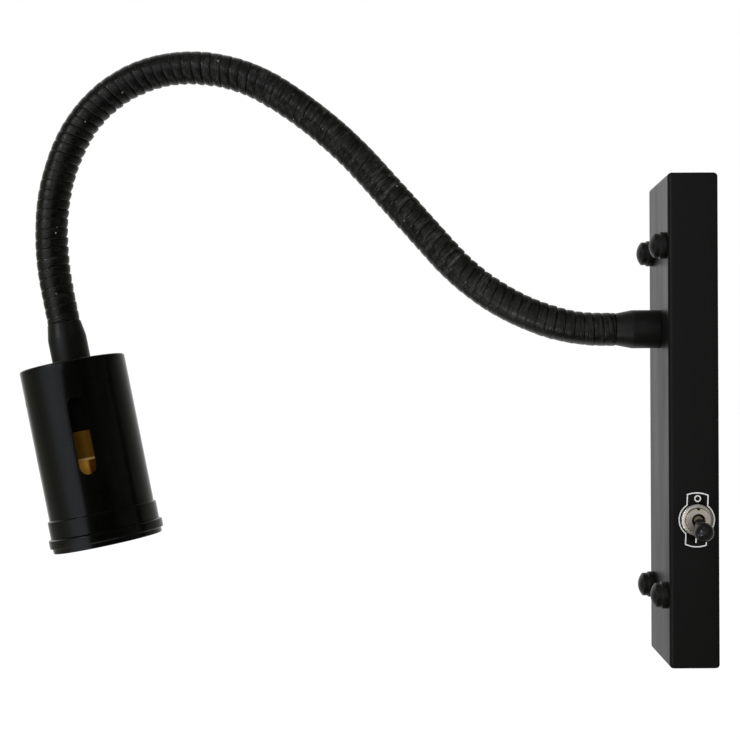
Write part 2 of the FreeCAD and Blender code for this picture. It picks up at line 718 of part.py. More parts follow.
# The lamp cup: a spun can with a slot, a small hole in its side and a band round its lower end.
# Its X axis is turned with the slot, so that the slot lies on the side of -Y.
slot_place = cup_place * Placement(Vector(), Rotation(Vector(0, 0, 1), -size("slot_turn")))
cup = turned(
    "lamp_cup",
    [
        ("nipple_radius + hole_clearance", "0"),
        ("cup_radius - cup_chamfer", "0"),
        ("cup_radius", "cup_chamfer"),
        ("cup_radius", "band_start"),
        ("band_radius", "band_start"),
        ("band_radius", "cup_length"),
        ("cup_radius - cup_wall", "cup_length"),
        ("cup_radius - cup_wall", "cup_top"),
        ("nipple_radius + hole_clearance", "cup_top"),
    ],
)
slot = new_sketch(cup, "XZ_Plane", "cup_slot")
obround(slot, "0", "slot_middle", "slot_width", "slot_length")
pocket(cup, slot, "band_radius + cup_wall", reverse=True)
vent = new_sketch(cup, "XZ_Plane", "cup_vent")
vent.AttachmentOffset = Placement(Vector(), Rotation(Vector(0, 1, 0), -size("vent_turn")))
circle(vent, "0", "vent_depth", "vent_radius")
pocket(cup, vent, "band_radius + cup_wall", reverse=True)
keep("lamp_cup", cup, slot_place)

# The mouth ring, seamed on to the end of the cup, with a step and a lip
ring_step = "cup_length + mouth_chamfer"
ring_lip = f"{ring_step} + mouth_step"
ring_end = f"{ring_lip} + mouth_lip"
mouth_ring = turned(
    "mouth_ring",
    [
        ("cup_radius - cup_wall", "cup_length"),
        ("band_radius", "cup_length"),
        ("mouth_step_radius", ring_step),
        ("mouth_step_radius", ring_lip),
        ("mouth_lip_radius", ring_lip),
        ("mouth_lip_radius", ring_end),
        ("cup_radius - cup_wall", ring_end),
    ],
)
keep("mouth_ring", mouth_ring, cup_place)

# The lampholder: a black cap on the threaded end, a brass shell, a porcelain core and the threaded lamp shell
holder_top = "cup_top + nut_height + holder_top_gap"
cap_inside = "holder_cap_radius - holder_cap_wall"
holder_cap = turned(
    "holder_cap",
    [
        (nipple_hole, holder_top),
        ("holder_boss_radius", holder_top),
        ("holder_boss_radius", "holder_cap_start"),
        ("holder_cap_radius", "holder_cap_start"),
        ("holder_cap_radius", "holder_cap_end"),
        (cap_inside, "holder_cap_end"),
        (cap_inside, "holder_cap_start + holder_cap_wall"),
        (nipple_hole, "holder_cap_start + holder_cap_wall"),
    ],
)
keep("holder_cap", holder_cap, cup_place)
inner = "holder_radius - holder_wall"
holder_shell = turned(
    "holder_shell",
    [
        (inner, "holder_cap_end"),
        ("holder_radius", "holder_cap_end"),
        ("holder_radius", "bead_middle - bead_width / 2"),
        ("holder_radius + bead_rise", "bead_middle"),
        ("holder_radius", "bead_middle + bead_width / 2"),
        ("holder_radius", "holder_end"),
        (inner, "holder_end"),
    ],
)
keep("holder_shell", holder_shell, cup_place)
socket_bore = "thread_radius + thread_wall + thread_fit"
holder_core = turned(
    "holder_core",
    [
        ("0", "porcelain_start"),
        ("porcelain_radius", "porcelain_start"),
        ("porcelain_radius", "porcelain_end"),
        (socket_bore, "porcelain_end"),
        (socket_bore, "porcelain_floor"),
        ("0", "porcelain_floor"),
    ],
)
keep("holder_core", holder_core, cup_place)
thread_outside = "thread_radius + thread_wall"
lamp_thread = ring("lamp_thread_shell", "thread_radius", thread_outside, "thread_start", "thread_end")
keep("lamp_thread_shell", lamp_thread, cup_place)

# The centre contact, a bent tongue on the floor of the socket
contact = new_body("centre_contact")
contact_side = new_sketch(contact, "XZ_Plane", "contact_side")
outline(
    contact_side,
    [
        ("0 - contact_foot", "porcelain_floor"),
        ("0 - contact_foot / 2", "porcelain_floor"),
        ("contact_tip", "porcelain_floor + contact_rise"),
        ("contact_tip", "porcelain_floor + contact_rise + contact_sheet"),
        ("0 - contact_foot / 2", "porcelain_floor + contact_sheet"),
        ("0 - contact_foot", "porcelain_floor + contact_sheet"),
    ],
)
contact_pad = pad(contact, contact_side, "contact_width")
contact_pad.Midplane = True
keep("centre_contact", contact, cup_place)

side_contact = new_body("side_contact")
tab_side = new_sketch(side_contact, "XZ_Plane", "tab_side")
outline(
    tab_side,
    [
        ("side_contact_foot", "porcelain_floor"),
        ("side_contact_out", "porcelain_floor"),
        ("side_contact_out", "thread_start"),
        ("side_contact_out - contact_sheet", "thread_start"),
        ("side_contact_out - contact_sheet", "porcelain_floor + contact_sheet"),
        ("side_contact_foot", "porcelain_floor + contact_sheet"),
    ],
)
tab_pad = pad(side_contact, tab_side, "side_contact_width")
tab_pad.Midplane = True
keep("side_contact", side_contact, cup_place)

# The toggle switch on the side of the housing. Z of its frame points straight out, and Y is up.
switch_place = at(
    front + size("switch_setback"), -size("box_width") / 2, size("switch_height"), SIDEWAYS
)
bushing_hole = "bushing_radius + thread_clearance"
plate_disc = cylinder("plate_disc", "plate_disc", "plate_sheet")
plate_strip = block(
    "plate_strip",
    "plate_tab",
    "plate_length",
    "plate_sheet",
    at(-size("plate_tab") / 2, -size("plate_length") / 2, 0),
)
plate_round = cylinder("plate_round", "plate_length / 2", "plate_sheet")
plate_tabs = common("plate_tabs", plate_strip, plate_round)
plate_bore = cylinder("plate_bore", bushing_hole, "plate_sheet")
legend_plate = cut("switch_legend_plate", fuse("plate_blank", plate_disc, plate_tabs), plate_bore)
keep("switch_legend_plate", legend_plate, switch_place)

ring_nut_end = "plate_sheet + ring_nut_height"
ring_nut = ring("switch_ring_nut", bushing_hole, "ring_nut_radius", "plate_sheet", ring_nut_end)
keep("switch_ring_nut", ring_nut, switch_place)

back_nut = cut(
    "switch_back_nut",
    hexagon("back_nut_flats", "back_nut_across", "back_nut_height"),
    cylinder("back_nut_bore", bushing_hole, "back_nut_height"),
)
back_nut_depth = size("box_wall") + size("back_nut_height")
keep("switch_back_nut", back_nut, switch_place * at(0, 0, -back_nut_depth))

# The bushing carries the metal cover that closes the switch body
bushing_tube = cylinder(
    "bushing_tube", "bushing_radius", "switch_top + bushing_out", at(0, 0, -size("switch_top"))
)
cover = block(
    "switch_cover",
    "switch_wide",
    "switch_long",
    "switch_flange",
    at(-size("switch_wide") / 2, -size("switch_long") / 2, -size("switch_top")),
)
bushing_bore = cylinder(
    "bushing_bore", "bushing_bore", "switch_top + bushing_out", at(0, 0, -size("switch_top"))
)
keyway_place = at(
    -size("keyway_width") / 2,
    size("bushing_radius") - size("keyway_deep"),
    size("switch_flange") - size("switch_top"),
)
keyway = block(
    "bushing_keyway",
    "keyway_width",
    "keyway_deep + thread_clearance",
    "switch_top + bushing_out",
    keyway_place,
)
# The lever's pivot pin lies across the bushing, in a hole that it fills
CROSSWAYS = Rotation(Vector(0, 1, 0), 90)
pin_half = size("bushing_radius") - size("pin_inset")
pin_length = "2 * ( bushing_radius - pin_inset )"
pin_place = at(-pin_half, 0, size("lever_pivot"), CROSSWAYS)
pin_hole = cylinder("pin_hole", "pin_radius", pin_length, pin_place)
bushing = cut(
    "switch_bushing",
    fuse("bushing_blank", bushing_tube, cover),
    fuse("bushing_cuts", bushing_bore, keyway, pin_hole),
)
keep("switch_bushing", bushing, switch_place)
pivot_pin = cylinder("switch_pivot_pin", "pin_radius", pin_length)
keep("switch_pivot_pin", pivot_pin, switch_place * pin_place)

switch_body = new_body("switch_body")
body_face = new_sketch(switch_body, "XY_Plane", "switch_face")
rectangle(body_face, "switch_wide", "switch_long")
body_pad = pad(switch_body, body_face, "switch_deep", reverse=True)
upright = [
    name
    for name in edges_where(body_pad.Shape, lambda p: True)
    if abs(body_pad.Shape.getElement(name).BoundBox.ZLength - size("switch_deep")) < NEAR
]
fillet(switch_body, body_pad, upright, "switch_round")
keep("switch_body", switch_body, switch_place * at(0, 0, -size("switch_top")))

blade_back = size("switch_top") + size("switch_deep") + size("blade_length")
blades = [
    block(
        f"blade_{number}",
        "blade_width",
        "blade_sheet",
        "blade_length",
        switch_place
        * at(
            -size("blade_width") / 2,
            side * size("blade_apart") / 2 - size("blade_sheet") / 2,
            -blade_back,
        ),
    )
    for number, side in enumerate((-1, 1), 1)
]
keep("switch_terminals", compound("switch_terminals", *blades))

# The lever tips about its ball, and at rest it points down. Its outlines run through points on round balls.
def on_ball(radius, degrees, middle="0"):
    """A point of an outline, this far round from straight sideways on a ball about the axis."""
    turn = math.radians(degrees)
    return f"{radius} * {math.cos(turn):.6f}", f"{middle} + {radius} * ( {math.sin(turn):.6f} )"


lever_place = (
    switch_place
    * at(0, 0, size("lever_pivot"))
    * Placement(Vector(), Rotation(Vector(1, 0, 0), size("lever_tilt")))
)
lever_blank = turned(
    "lever_blank",
    [
        ("0", on_ball("lever_ball", -60)[1]),
        on_ball("lever_ball", -60),
        on_ball("lever_ball", -18),
        on_ball("lever_ball", 18),
        on_ball("lever_ball", 44),
        ("lever_root", "bat_start"),
        ("lever_rod", "bat_start"),
        ("lever_rod", "lever_rod_end"),
        ("0", "lever_rod_end"),
    ],
)
ball_bore = cylinder(
    "ball_bore", "pin_radius + pin_clearance", "2 * lever_ball", at(-size("lever_ball"), 0, 0, CROSSWAYS)
)
keep("switch_lever", cut("switch_lever", lever_blank, ball_bore), lever_place)
bat = turned(
    "switch_lever_cap",
    [
        ("lever_rod + thread_clearance", "bat_start"),
        ("lever_root", "bat_start"),
        on_ball("bat_ball", -47, "bat_middle"),
        on_ball("bat_ball", -12, "bat_middle"),
        on_ball("bat_ball", 12, "bat_middle"),
        on_ball("bat_ball", 53, "bat_middle"),
        ("0", "bat_middle + bat_ball"),
        ("0", "lever_rod_end + thread_clearance"),
        ("lever_rod + thread_clearance", "lever_rod_end + thread_clearance"),
    ],
)
keep("switch_lever_cap", bat, lever_place)

# Every object and every piece is tested before anything is written
doc.recompute()
for thing in doc.Objects:
    if {"Invalid", "Error"} & set(thing.State):
        raise RuntimeError(f"{thing.Name} failed: {thing.State}")
for node, made in parts.items():
    if made.Shape.isNull() or not made.Shape.isValid() or not made.Shape.Solids:
        raise RuntimeError(f"{node} has no valid solid")
os.makedirs("parts", exist_ok=True)
for node, made in parts.items():
    made.Shape.exportStep(f"parts/{node}.step")
bend_radii = [
    f"{name} {length / math.radians(abs(turn)):.0f}"
    for (name, nominal, turn_nominal), (length, turn) in zip(BENDS, bends)
    if turn
]
end = neck_place(hose_length)
print("hose length", round(hose_length, 1), "bend radii", ", ".join(bend_radii))
print("rib pitch", round(rib_pitch, 3), "hose end", [round(v, 2) for v in end.Base])
print(len(parts), "pieces,", sum(len(made.Shape.Solids) for made in parts.values()), "solids")
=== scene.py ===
import math
import random

import bpy
import numpy as np
from mathutils import Matrix, Vector


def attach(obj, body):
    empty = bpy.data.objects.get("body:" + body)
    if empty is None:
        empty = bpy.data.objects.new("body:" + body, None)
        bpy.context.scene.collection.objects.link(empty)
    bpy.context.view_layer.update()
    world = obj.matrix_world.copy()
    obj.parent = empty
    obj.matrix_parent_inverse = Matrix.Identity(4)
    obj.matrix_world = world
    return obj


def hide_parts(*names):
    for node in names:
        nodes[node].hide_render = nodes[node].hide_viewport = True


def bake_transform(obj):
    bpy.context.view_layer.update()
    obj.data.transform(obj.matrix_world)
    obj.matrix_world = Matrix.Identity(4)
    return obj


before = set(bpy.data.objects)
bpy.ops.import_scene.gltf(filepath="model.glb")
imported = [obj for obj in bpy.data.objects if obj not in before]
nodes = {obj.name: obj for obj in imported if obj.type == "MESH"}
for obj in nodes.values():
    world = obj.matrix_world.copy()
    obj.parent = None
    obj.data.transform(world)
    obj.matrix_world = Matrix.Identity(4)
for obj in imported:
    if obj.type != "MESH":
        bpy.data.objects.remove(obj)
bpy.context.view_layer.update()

MM = 0.001


def in_scene(name, data):
    """A new object in the scene, with this mesh, light or camera."""
    thing = bpy.data.objects.new(name, data)
    bpy.context.scene.collection.objects.link(thing)
    return thing


# The camera stands a little above the middle of the box, half way along the neck, and looks straight at the
# side that carries the switch. A small shift of the lens keeps the box upright at the right of the picture.
camera = in_scene("camera", bpy.data.cameras.new("camera"))
bpy.context.scene.camera = camera
camera.location = (-0.1481, -0.7320, 0.01345)
camera.rotation_euler = (math.radians(90), math.radians(0.27), 0)
camera.data.sensor_width = 36
camera.data.lens = 67.94
camera.data.shift_x = -0.073
camera.data.shift_y = 0.0338
camera.data.clip_start = 0.02

# The studio: a pale floor well below the lamp, a white room and three soft lights. Metal sees the room as it
# would be in a workshop, with a window wall behind the camera on the left and dark corners beside it.
bpy.context.scene.view_settings.view_transform = "Standard"


def feed(tree, node, inputs):
    """Gives a node its inputs: numbers, colours or other nodes' outputs."""
    for name, value in inputs.items():
        if isinstance(value, bpy.types.NodeSocket):
            tree.links.new(value, node.inputs[name])
        else:
            node.inputs[name].default_value = value


def add(tree, kind, inputs=None, **settings):
    """A node of a material, a group or the world."""
    node = tree.nodes.new("ShaderNode" + kind)
    for name, value in settings.items():
        setattr(node, name, value)
    feed(tree, node, inputs or {})
    return node


def math_of(tree, operation, *values):
    """A number worked out from numbers or from other nodes' outputs."""
    return add(tree, "Math", dict(enumerate(values)), operation=operation).outputs[0]


def product(tree, *factors):
    """Several numbers or masks multiplied together."""
    value = factors[0]
    for factor in factors[1:]:
        value = math_of(tree, "MULTIPLY", value, factor)
    return value


def either(tree, first, second):
    """1 where one of two masks is 1."""
    return math_of(tree, "MAXIMUM", first, second)


def carried(tree, value, start, end, low=0.0, high=1.0):
    """A number carried from one range to another, and kept inside it."""
    return add(tree, "MapRange", {0: value, 1: start, 2: end, 3: low, 4: high}).outputs[0]


def between(tree, mask, low, high):
    """A number between two, by a mask."""
    return carried(tree, mask, 0.0, 1.0, low, high)


def part_of(tree, vector, axis):
    """One component of a vector."""
    return add(tree, "SeparateXYZ", {0: vector}).outputs[axis]


def seen_or_mirrored(tree):
    """Two masks: what the camera sees directly, and what it sees in metal and glass."""
    path = add(tree, "LightPath").outputs
    mirrored = either(tree, path["Is Glossy Ray"], path["Is Transmission Ray"])
    return path["Is Camera Ray"], mirrored


def new_group(name, inputs, outputs):
    """A shader node group with named inputs, each with its usual value, and named outputs."""
    group = bpy.data.node_groups.new(name, "ShaderNodeTree")
    for label, kind, usual in inputs:
        socket = group.interface.new_socket(label, in_out="INPUT", socket_type="NodeSocket" + kind)
        socket.default_value = usual
    for label, kind in outputs:
        group.interface.new_socket(label, in_out="OUTPUT", socket_type="NodeSocket" + kind)
    given = group.nodes.new("NodeGroupInput").outputs
    return group, given, group.nodes.new("NodeGroupOutput").inputs


def placed(tree, group, **values):
    """A group placed in a material with its own values. An underline in a name stands for a space."""
    node = tree.nodes.new("ShaderNodeGroup")
    node.node_tree = group
    feed(tree, node, {name.replace("_", " "): value for name, value in values.items()})
    return node.outputs


def new_material(name):
    """A material without any nodes yet, and its tree."""
    material = bpy.data.materials.new(name)
    material.use_nodes = True
    material.node_tree.nodes.clear()
    return material, material.node_tree


def flat_prop(name, corners, material):
    """A flat piece of the studio with these corners in metres."""
    mesh = bpy.data.meshes.new(name)
    mesh.from_pydata(corners, [], [tuple(range(len(corners)))])
    mesh.materials.append(material)
    return in_scene(name, mesh)


# How metal sees the room, by direction: a cool window wall behind the camera, dark beside it, white behind
# the lamp, a bright table below the window and two small glints of lamps.
room_in_metal, given, out = new_group(
    "room in metal", [("Toward", "Vector", (0.0, 0.0, 1.0))], [("Color", "Color")]
)
tree = room_in_metal
toward = add(tree, "VectorMath", {0: given["Toward"]}, operation="NORMALIZE").outputs[0]
compass = add(tree, "SeparateXYZ", {0: toward}).outputs
bearing = math_of(tree, "ARCTAN2", compass["X"], product(tree, compass["Y"], -1.0))
# Higher up the room's bands lean to the left, and low down they lean to the right.
LEAN = 0.5
bearing = math_of(tree, "ADD", bearing, carried(tree, compass["Z"], 0.0, 0.5, 0.0, -LEAN))
bearing = math_of(tree, "ADD", bearing, carried(tree, compass["Z"], -0.7, -0.25, LEAN, 0.0))
bearing = carried(tree, bearing, -math.pi, math.pi)
COOL, WARM, PLAIN = (0.86, 0.91, 1.0), (1.0, 1.0, 0.86), (1.0, 1.0, 1.0)
WALLS = (
    # degrees round from behind the camera, right is positive, how bright the room is there, and its tint
    (-180, 1.0, PLAIN),
    (-150, 1.0, PLAIN),
    (-134, 0.74, PLAIN),
    (-122, 0.30, WARM),
    (-105, 0.22, WARM),
    (-85, 0.20, WARM),
    (-70, 0.38, WARM),
    (-55, 0.90, COOL),
    (-43, 1.0, COOL),
    (-30, 0.95, COOL),
    (-20, 0.86, COOL),
    (-8, 0.54, PLAIN),
    (1, 0.46, PLAIN),
    (10, 0.50, PLAIN),
    (16, 0.44, PLAIN),
    (24, 0.28, PLAIN),
    (34, 0.04, WARM),
    (55, 0.08, WARM),
    (84, 0.12, WARM),
    (100, 0.19, WARM),
    (123, 0.36, WARM),
    (150, 0.62, PLAIN),
    (180, 1.0, PLAIN),
)
# how bright the room is from straight down, -1, to straight up, 1
HEIGHTS = ((-1, 0.30), (-0.75, 0.90), (-0.45, 1.0), (-0.2, 0.84), (-0.02, 0.76), (0.14, 0.92), (0.32, 0.34))
HEIGHTS += ((1, 0.24),)
BRIGHTEST = 1.35
BACK_WALL_LOW, BACK_WALL_HIGH = 0.88, 1.05


def ramp(tree, factor, stops):
    """A colour ramp from stops of place, from 0 to 1, and colour."""
    node = add(tree, "ValToRGB", {0: factor})
    while len(node.color_ramp.elements) < len(stops):
        node.color_ramp.elements.new(0.5)
    for element, (place, colour) in zip(node.color_ramp.elements, stops):
        element.position = place
        element.color = (*colour, 1)
    return node.outputs[0]


walls = ramp(tree, bearing, [(d / 360 + 0.5, [level * c for c in tint]) for d, level, tint in WALLS])
height = carried(tree, compass["Z"], -1.0, 1.0)
height = ramp(tree, height, [((z + 1) / 2, [level] * 3) for z, level in HEIGHTS])
height = product(tree, height, BRIGHTEST)
at_back = carried(tree, compass["Y"], 0.3, 0.7)
back_wall = carried(tree, compass["Z"], 0.05, 0.12, BACK_WALL_LOW, BACK_WALL_HIGH)
height = between(tree, at_back, height, back_wall)
colour = add(tree, "VectorMath", {0: walls, 3: height}, operation="SCALE").outputs[0]
# where the two lamps glint: degrees round from behind the camera and degrees up
GLINTS = ((-44, 19), (-13, -39))
GLINT_BRIGHT, GLINT_RIM, GLINT_CORE = 6.0, 0.984, 0.994
for degrees, elevation in GLINTS:
    round_by, up_by = math.radians(degrees), math.radians(elevation)
    glint = (math.sin(round_by) * math.cos(up_by), -math.cos(round_by) * math.cos(up_by), math.sin(up_by))
    near = add(tree, "VectorMath", {0: toward, 1: glint}, operation="DOT_PRODUCT").outputs["Value"]
    near = carried(tree, near, GLINT_RIM, GLINT_CORE, 0.0, GLINT_BRIGHT)
    colour = add(tree, "VectorMath", {0: colour, 1: near}).outputs[0]
tree.links.new(colour, out["Color"])

world = bpy.data.worlds.new("studio")
bpy.context.scene.world = world
world.use_nodes = True
room = world.node_tree
room.nodes.clear()
toward = add(room, "TexCoord").outputs["Generated"]
walls = placed(room, room_in_metal, Toward=toward)["Color"]
seen, mirrored = seen_or_mirrored(room)
lit = add(room, "Background", {"Color": (0.70, 0.71, 0.74, 1)}).outputs[0]
in_metal = add(room, "Background", {"Color": walls}).outputs[0]
white = add(room, "Background", {"Color": (1, 1, 1, 1), "Strength": 1.0}).outputs[0]
dim = add(room, "MixShader", {0: mirrored, 1: lit, 2: in_metal}).outputs[0]
whole = add(room, "MixShader", {0: seen, 1: dim, 2: white}).outputs[0]
add(room, "OutputWorld", {"Surface": whole})

FLOOR_LEVEL = -0.2
FLOOR_REACH = 12.0
corners = [(x * FLOOR_REACH, y * FLOOR_REACH, FLOOR_LEVEL) for x, y in ((-1, -1), (1, -1), (1, 1), (-1, 1))]
pale, tree = new_material("pale_floor")
floor = flat_prop("floor", corners, pale)
painted = add(tree, "BsdfPrincipled", {"Base Color": (0.86, 0.86, 0.86, 1), "Roughness": 0.8}).outputs[0]
white_paper = add(tree, "Emission", {"Color": (1, 1, 1, 1), "Strength": 1.1}).outputs[0]
LAMP_MIDDLE = (-0.15, 0.0, 0.0)
on_floor = add(tree, "TexCoord").outputs["Object"]
from_lamp = add(tree, "VectorMath", {0: on_floor, 1: LAMP_MIDDLE}, operation="SUBTRACT").outputs[0]
room_there = placed(tree, room_in_metal, Toward=from_lamp)["Color"]
lit_floor = add(tree, "Emission", {"Color": room_there}).outputs[0]
seen, mirrored = seen_or_mirrored(tree)
PAPER_SHARE = 0.82
under = add(tree, "MixShader", {0: product(tree, seen, PAPER_SHARE), 1: painted, 2: white_paper}).outputs[0]
under = add(tree, "MixShader", {0: mirrored, 1: under, 2: lit_floor}).outputs[0]
add(tree, "OutputMaterial", {"Surface": under})

# A black card stands close before the cup and the end of the neck, out of the picture. Only metal sees it: it
# makes the dark stripe down the middle of the cup.
CARD_Y = -0.12
CARD = ((-0.225, -0.14), (-0.225, 0.15), (-0.300, 0.178), (-0.326, 0.165), (-0.334, 0.07), (-0.352, 0.03))
CARD += ((-0.360, 0.005), (-0.348, -0.14))
black_felt, tree = new_material("black_felt")
card = flat_prop("black_card", [(x, CARD_Y, z) for x, z in CARD], black_felt)
card.visible_camera = card.visible_diffuse = card.visible_shadow = card.visible_transmission = False
felt = add(tree, "Emission", {"Color": (0.02, 0.02, 0.014, 1)}).outputs[0]
add(tree, "OutputMaterial", {"Surface": felt})

SOFT_LIGHTS = (
    # name, where it stands, what it points at, width, height, watts, colour
    ("window", (-1.20, -1.50, 0.45), (-0.20, 0.0, 0.03), 1.2, 1.4, 13, (0.90, 0.94, 1.0)),
    ("overhead", (-0.35, -0.35, 1.55), (-0.15, 0.0, 0.05), 1.6, 1.2, 14, (1.0, 0.99, 0.97)),
    ("right_fill", (1.10, -1.40, 0.55), (-0.10, 0.0, 0.0), 0.8, 0.9, 5, (1.0, 0.97, 0.93)),
)
for name, stands, target, width, height, watts, colour in SOFT_LIGHTS:
    lamp = bpy.data.lights.new(name, "AREA")
    lamp.shape = "RECTANGLE"
    lamp.size, lamp.size_y = width, height
    lamp.energy = watts
    lamp.color = colour
    softbox = in_scene(name, lamp)
    softbox.location = stands
    softbox.rotation_euler = (Vector(target) - Vector(stands)).to_track_quat("-Z", "Y").to_euler()
    softbox.visible_glossy = False

# The housing: one narrow sheet of 1.5 mm steel folded round its front and welded at the corners, open to the
# wall. It is powder coated black, with the fine skin of cured powder and the wipe marks of years of hands.

# Coat skin: the slight orange peel of powder, lacquer or moulded rubber. Grain is in millimetres.
coat_skin, given, out = new_group("coat skin", [("Grain", "Float", 0.5)], [("Height", "Float")])
tree = coat_skin
per_metre = math_of(tree, "DIVIDE", 1 / MM, given["Grain"])
body_place = add(tree, "TexCoord").outputs["Object"]
peel = add(tree, "TexNoise", {"Vector": body_place, "Scale": per_metre, "Detail": 2.0}).outputs[0]
tree.links.new(peel, out["Height"])

# Wipe marks: cloudy patches drawn out along one direction, where cloths and hands have passed.
wipe_marks, given, out = new_group(
    "wipe marks",
    [("Patch", "Float", 20.0), ("Stretch", "Vector", (1.0, 1.0, 0.2)), ("Sharpness", "Float", 0.3)],
    [("Mask", "Float"), ("Fine", "Float")],
)
tree = wipe_marks
body_place = add(tree, "TexCoord").outputs["Object"]
drawn = add(tree, "VectorMath", {0: body_place, 1: given["Stretch"]}, operation="MULTIPLY").outputs[0]
per_metre = math_of(tree, "DIVIDE", 1 / MM, given["Patch"])
cloudy = {"Vector": drawn, "Scale": per_metre, "Detail": 5.0, "Roughness": 0.62, "Distortion": 0.4}
cloud = add(tree, "TexNoise", cloudy).outputs[0]
low = math_of(tree, "SUBTRACT", 0.5, given["Sharpness"])
high = math_of(tree, "ADD", 0.5, given["Sharpness"])
tree.links.new(carried(tree, cloud, low, high), out["Mask"])
FINER = 9.0
finer = product(tree, per_metre, FINER)
specks = add(tree, "TexNoise", {"Vector": drawn, "Scale": finer, "Detail": 3.0}).outputs[0]
tree.links.new(carried(tree, specks, 0.62, 0.74), out["Fine"])

# Rubbed edges: where a bevel would turn the surface, the coat is worn thin, more in some places than others.
rubbed_edges, given, out = new_group(
    "rubbed edges", [("Width", "Float", 0.4), ("Wear", "Float", 0.6)], [("Mask", "Float")]
)
tree = rubbed_edges
radius = product(tree, given["Width"], MM)
rounded_normal = add(tree, "Bevel", {"Radius": radius}, samples=6).outputs[0]
true_normal = add(tree, "NewGeometry").outputs["Normal"]
alike = add(tree, "VectorMath", {0: rounded_normal, 1: true_normal}, operation="DOT_PRODUCT")
turned_away = carried(tree, alike.outputs["Value"], 0.995, 0.9)
body_place = add(tree, "TexCoord").outputs["Object"]
patchy = add(tree, "TexNoise", {"Vector": body_place, "Scale": 90.0, "Detail": 4.0}).outputs[0]
patchy = carried(tree, patchy, 0.42, 0.62)
tree.links.new(product(tree, turned_away, patchy, given["Wear"]), out["Mask"])


def surface(tree, **inputs):
    """The material's Principled shader and its output. An underline in a name stands for a space."""
    shader = add(tree, "BsdfPrincipled", {name.replace("_", " "): value for name, value in inputs.items()})
    add(tree, "OutputMaterial", {"Surface": shader.outputs[0]})


def blend_of(tree, mask, first, second):
    """A colour between two, by a mask."""
    return add(tree, "Mix", {0: mask, 6: first, 7: second}, data_type="RGBA").outputs[2]


def raised(tree, height, distance):
    """The normal of a surface that this height moves by this many millimetres."""
    return add(tree, "Bump", {"Height": height, "Strength": 1.0, "Distance": distance * MM}).outputs[0]


def finish(name, marks, dark, light, rough, skin=None, edge=None, over=None, **more):
    """A finish that wipe marks vary between two colours and two roughnesses. Marks are the patch in
    millimetres, its stretch and its sharpness. Skin is its grain and relief in millimetres, and edge is the
    width, wear and colour of rubbed edges. Over puts one more effect on the colour."""
    material, tree = new_material(name)
    patch, stretch, sharpness = marks
    marks = placed(tree, wipe_marks, Patch=patch, Stretch=stretch, Sharpness=sharpness)
    colour = blend_of(tree, marks["Mask"], (*dark, 1), (*light, 1))
    if edge:
        edges = placed(tree, rubbed_edges, Width=edge[0], Wear=edge[1])
        colour = blend_of(tree, edges["Mask"], colour, (*edge[2], 1))
    if over:
        colour = over(tree, colour, marks)
    if skin:
        more["Normal"] = raised(tree, placed(tree, coat_skin, Grain=skin[0])["Height"], skin[1])
    surface(tree, Base_Color=colour, Roughness=between(tree, marks["Mask"], *rough), **more)
    return material


EVENLY = (1.0, 1.0, 1.0)
powder_coat = finish(
    "black_powder_coat",
    (16.0, (1.0, 1.0, 0.16), 0.30),
    (0.0042, 0.0042, 0.0038),
    (0.0050, 0.0050, 0.0045),
    rough=(0.44, 0.28),
    skin=(0.42, 0.012),
    edge=(0.8, 0.55, (0.020, 0.020, 0.021)),
    Specular_IOR_Level=0.11,
)


NEARLY_STRAIGHT, MOST_OF_SIDE = math.radians(89), 0.49


def rounded(corners, steps=4):
    """A closed outline in millimetres with its corners rounded, each given as across, up and radius."""
    points = []
    for number, (x, y, radius) in enumerate(corners):
        here = Vector((x, y))
        before = Vector(corners[number - 1][:2]) - here
        after = Vector(corners[(number + 1) % len(corners)][:2]) - here
        half = before.angle(after) / 2
        if not radius or half > NEARLY_STRAIGHT:
            points.append((x, y))
            continue
        reach = min(radius / math.tan(half), MOST_OF_SIDE * before.length, MOST_OF_SIDE * after.length)
        centre = here + (before.normalized() + after.normalized()).normalized() * (reach / math.cos(half))
        first = here + before.normalized() * reach - centre
        last = here + after.normalized() * reach - centre
        for step in range(steps + 1):
            share = step / steps
            spoke = (first * (1 - share) + last * share).normalized() * first.length
            points.append(tuple(centre + spoke))
    return points


def smooth(mesh, sharp=35):
    """Shades a mesh smooth but for the edges where its faces turn by more than this many degrees."""
    mesh.shade_smooth()
    mesh.set_sharp_from_angle(angle=math.radians(sharp))


def new_piece(name, vertices, faces, sharp=35):
    """A mesh piece with smooth faces."""
    mesh = bpy.data.meshes.new(name)
    mesh.from_pydata([tuple(v) for v in vertices], [], faces)
    mesh.validate()
    smooth(mesh, sharp)
    return in_scene(name, mesh)


def prism(name, outline, low, high):
    """A block with this outline in millimetres, from one height to another."""
    count = len(outline)
    vertices = [(x * MM, y * MM, z * MM) for z in (low, high) for x, y in outline]
    sides = [(n, (n + 1) % count, count + (n + 1) % count, count + n) for n in range(count)]
    faces = sides + [tuple(reversed(range(count))), tuple(range(count, 2 * count))]
    return new_piece(name, vertices, faces)


def ring_points(radius, x, y, count=40):
    """Points round a circle in millimetres."""
    angles = np.linspace(0, 2 * math.pi, count + 1)[:-1]
    return [(x + radius * math.cos(a), y + radius * math.sin(a)) for a in angles]


def carve(piece, cutter):
    """Cuts one mesh out of another for good."""
    modifier = piece.modifiers.new("carve", "BOOLEAN")
    modifier.operation = "DIFFERENCE"
    modifier.solver = "EXACT"
    modifier.object = cutter
    bpy.context.view_layer.update()
    carved = bpy.data.meshes.new_from_object(piece.evaluated_get(bpy.context.evaluated_depsgraph_get()))
    piece.modifiers.clear()
    piece.data = carved
    bpy.data.objects.remove(cutter)
    return piece


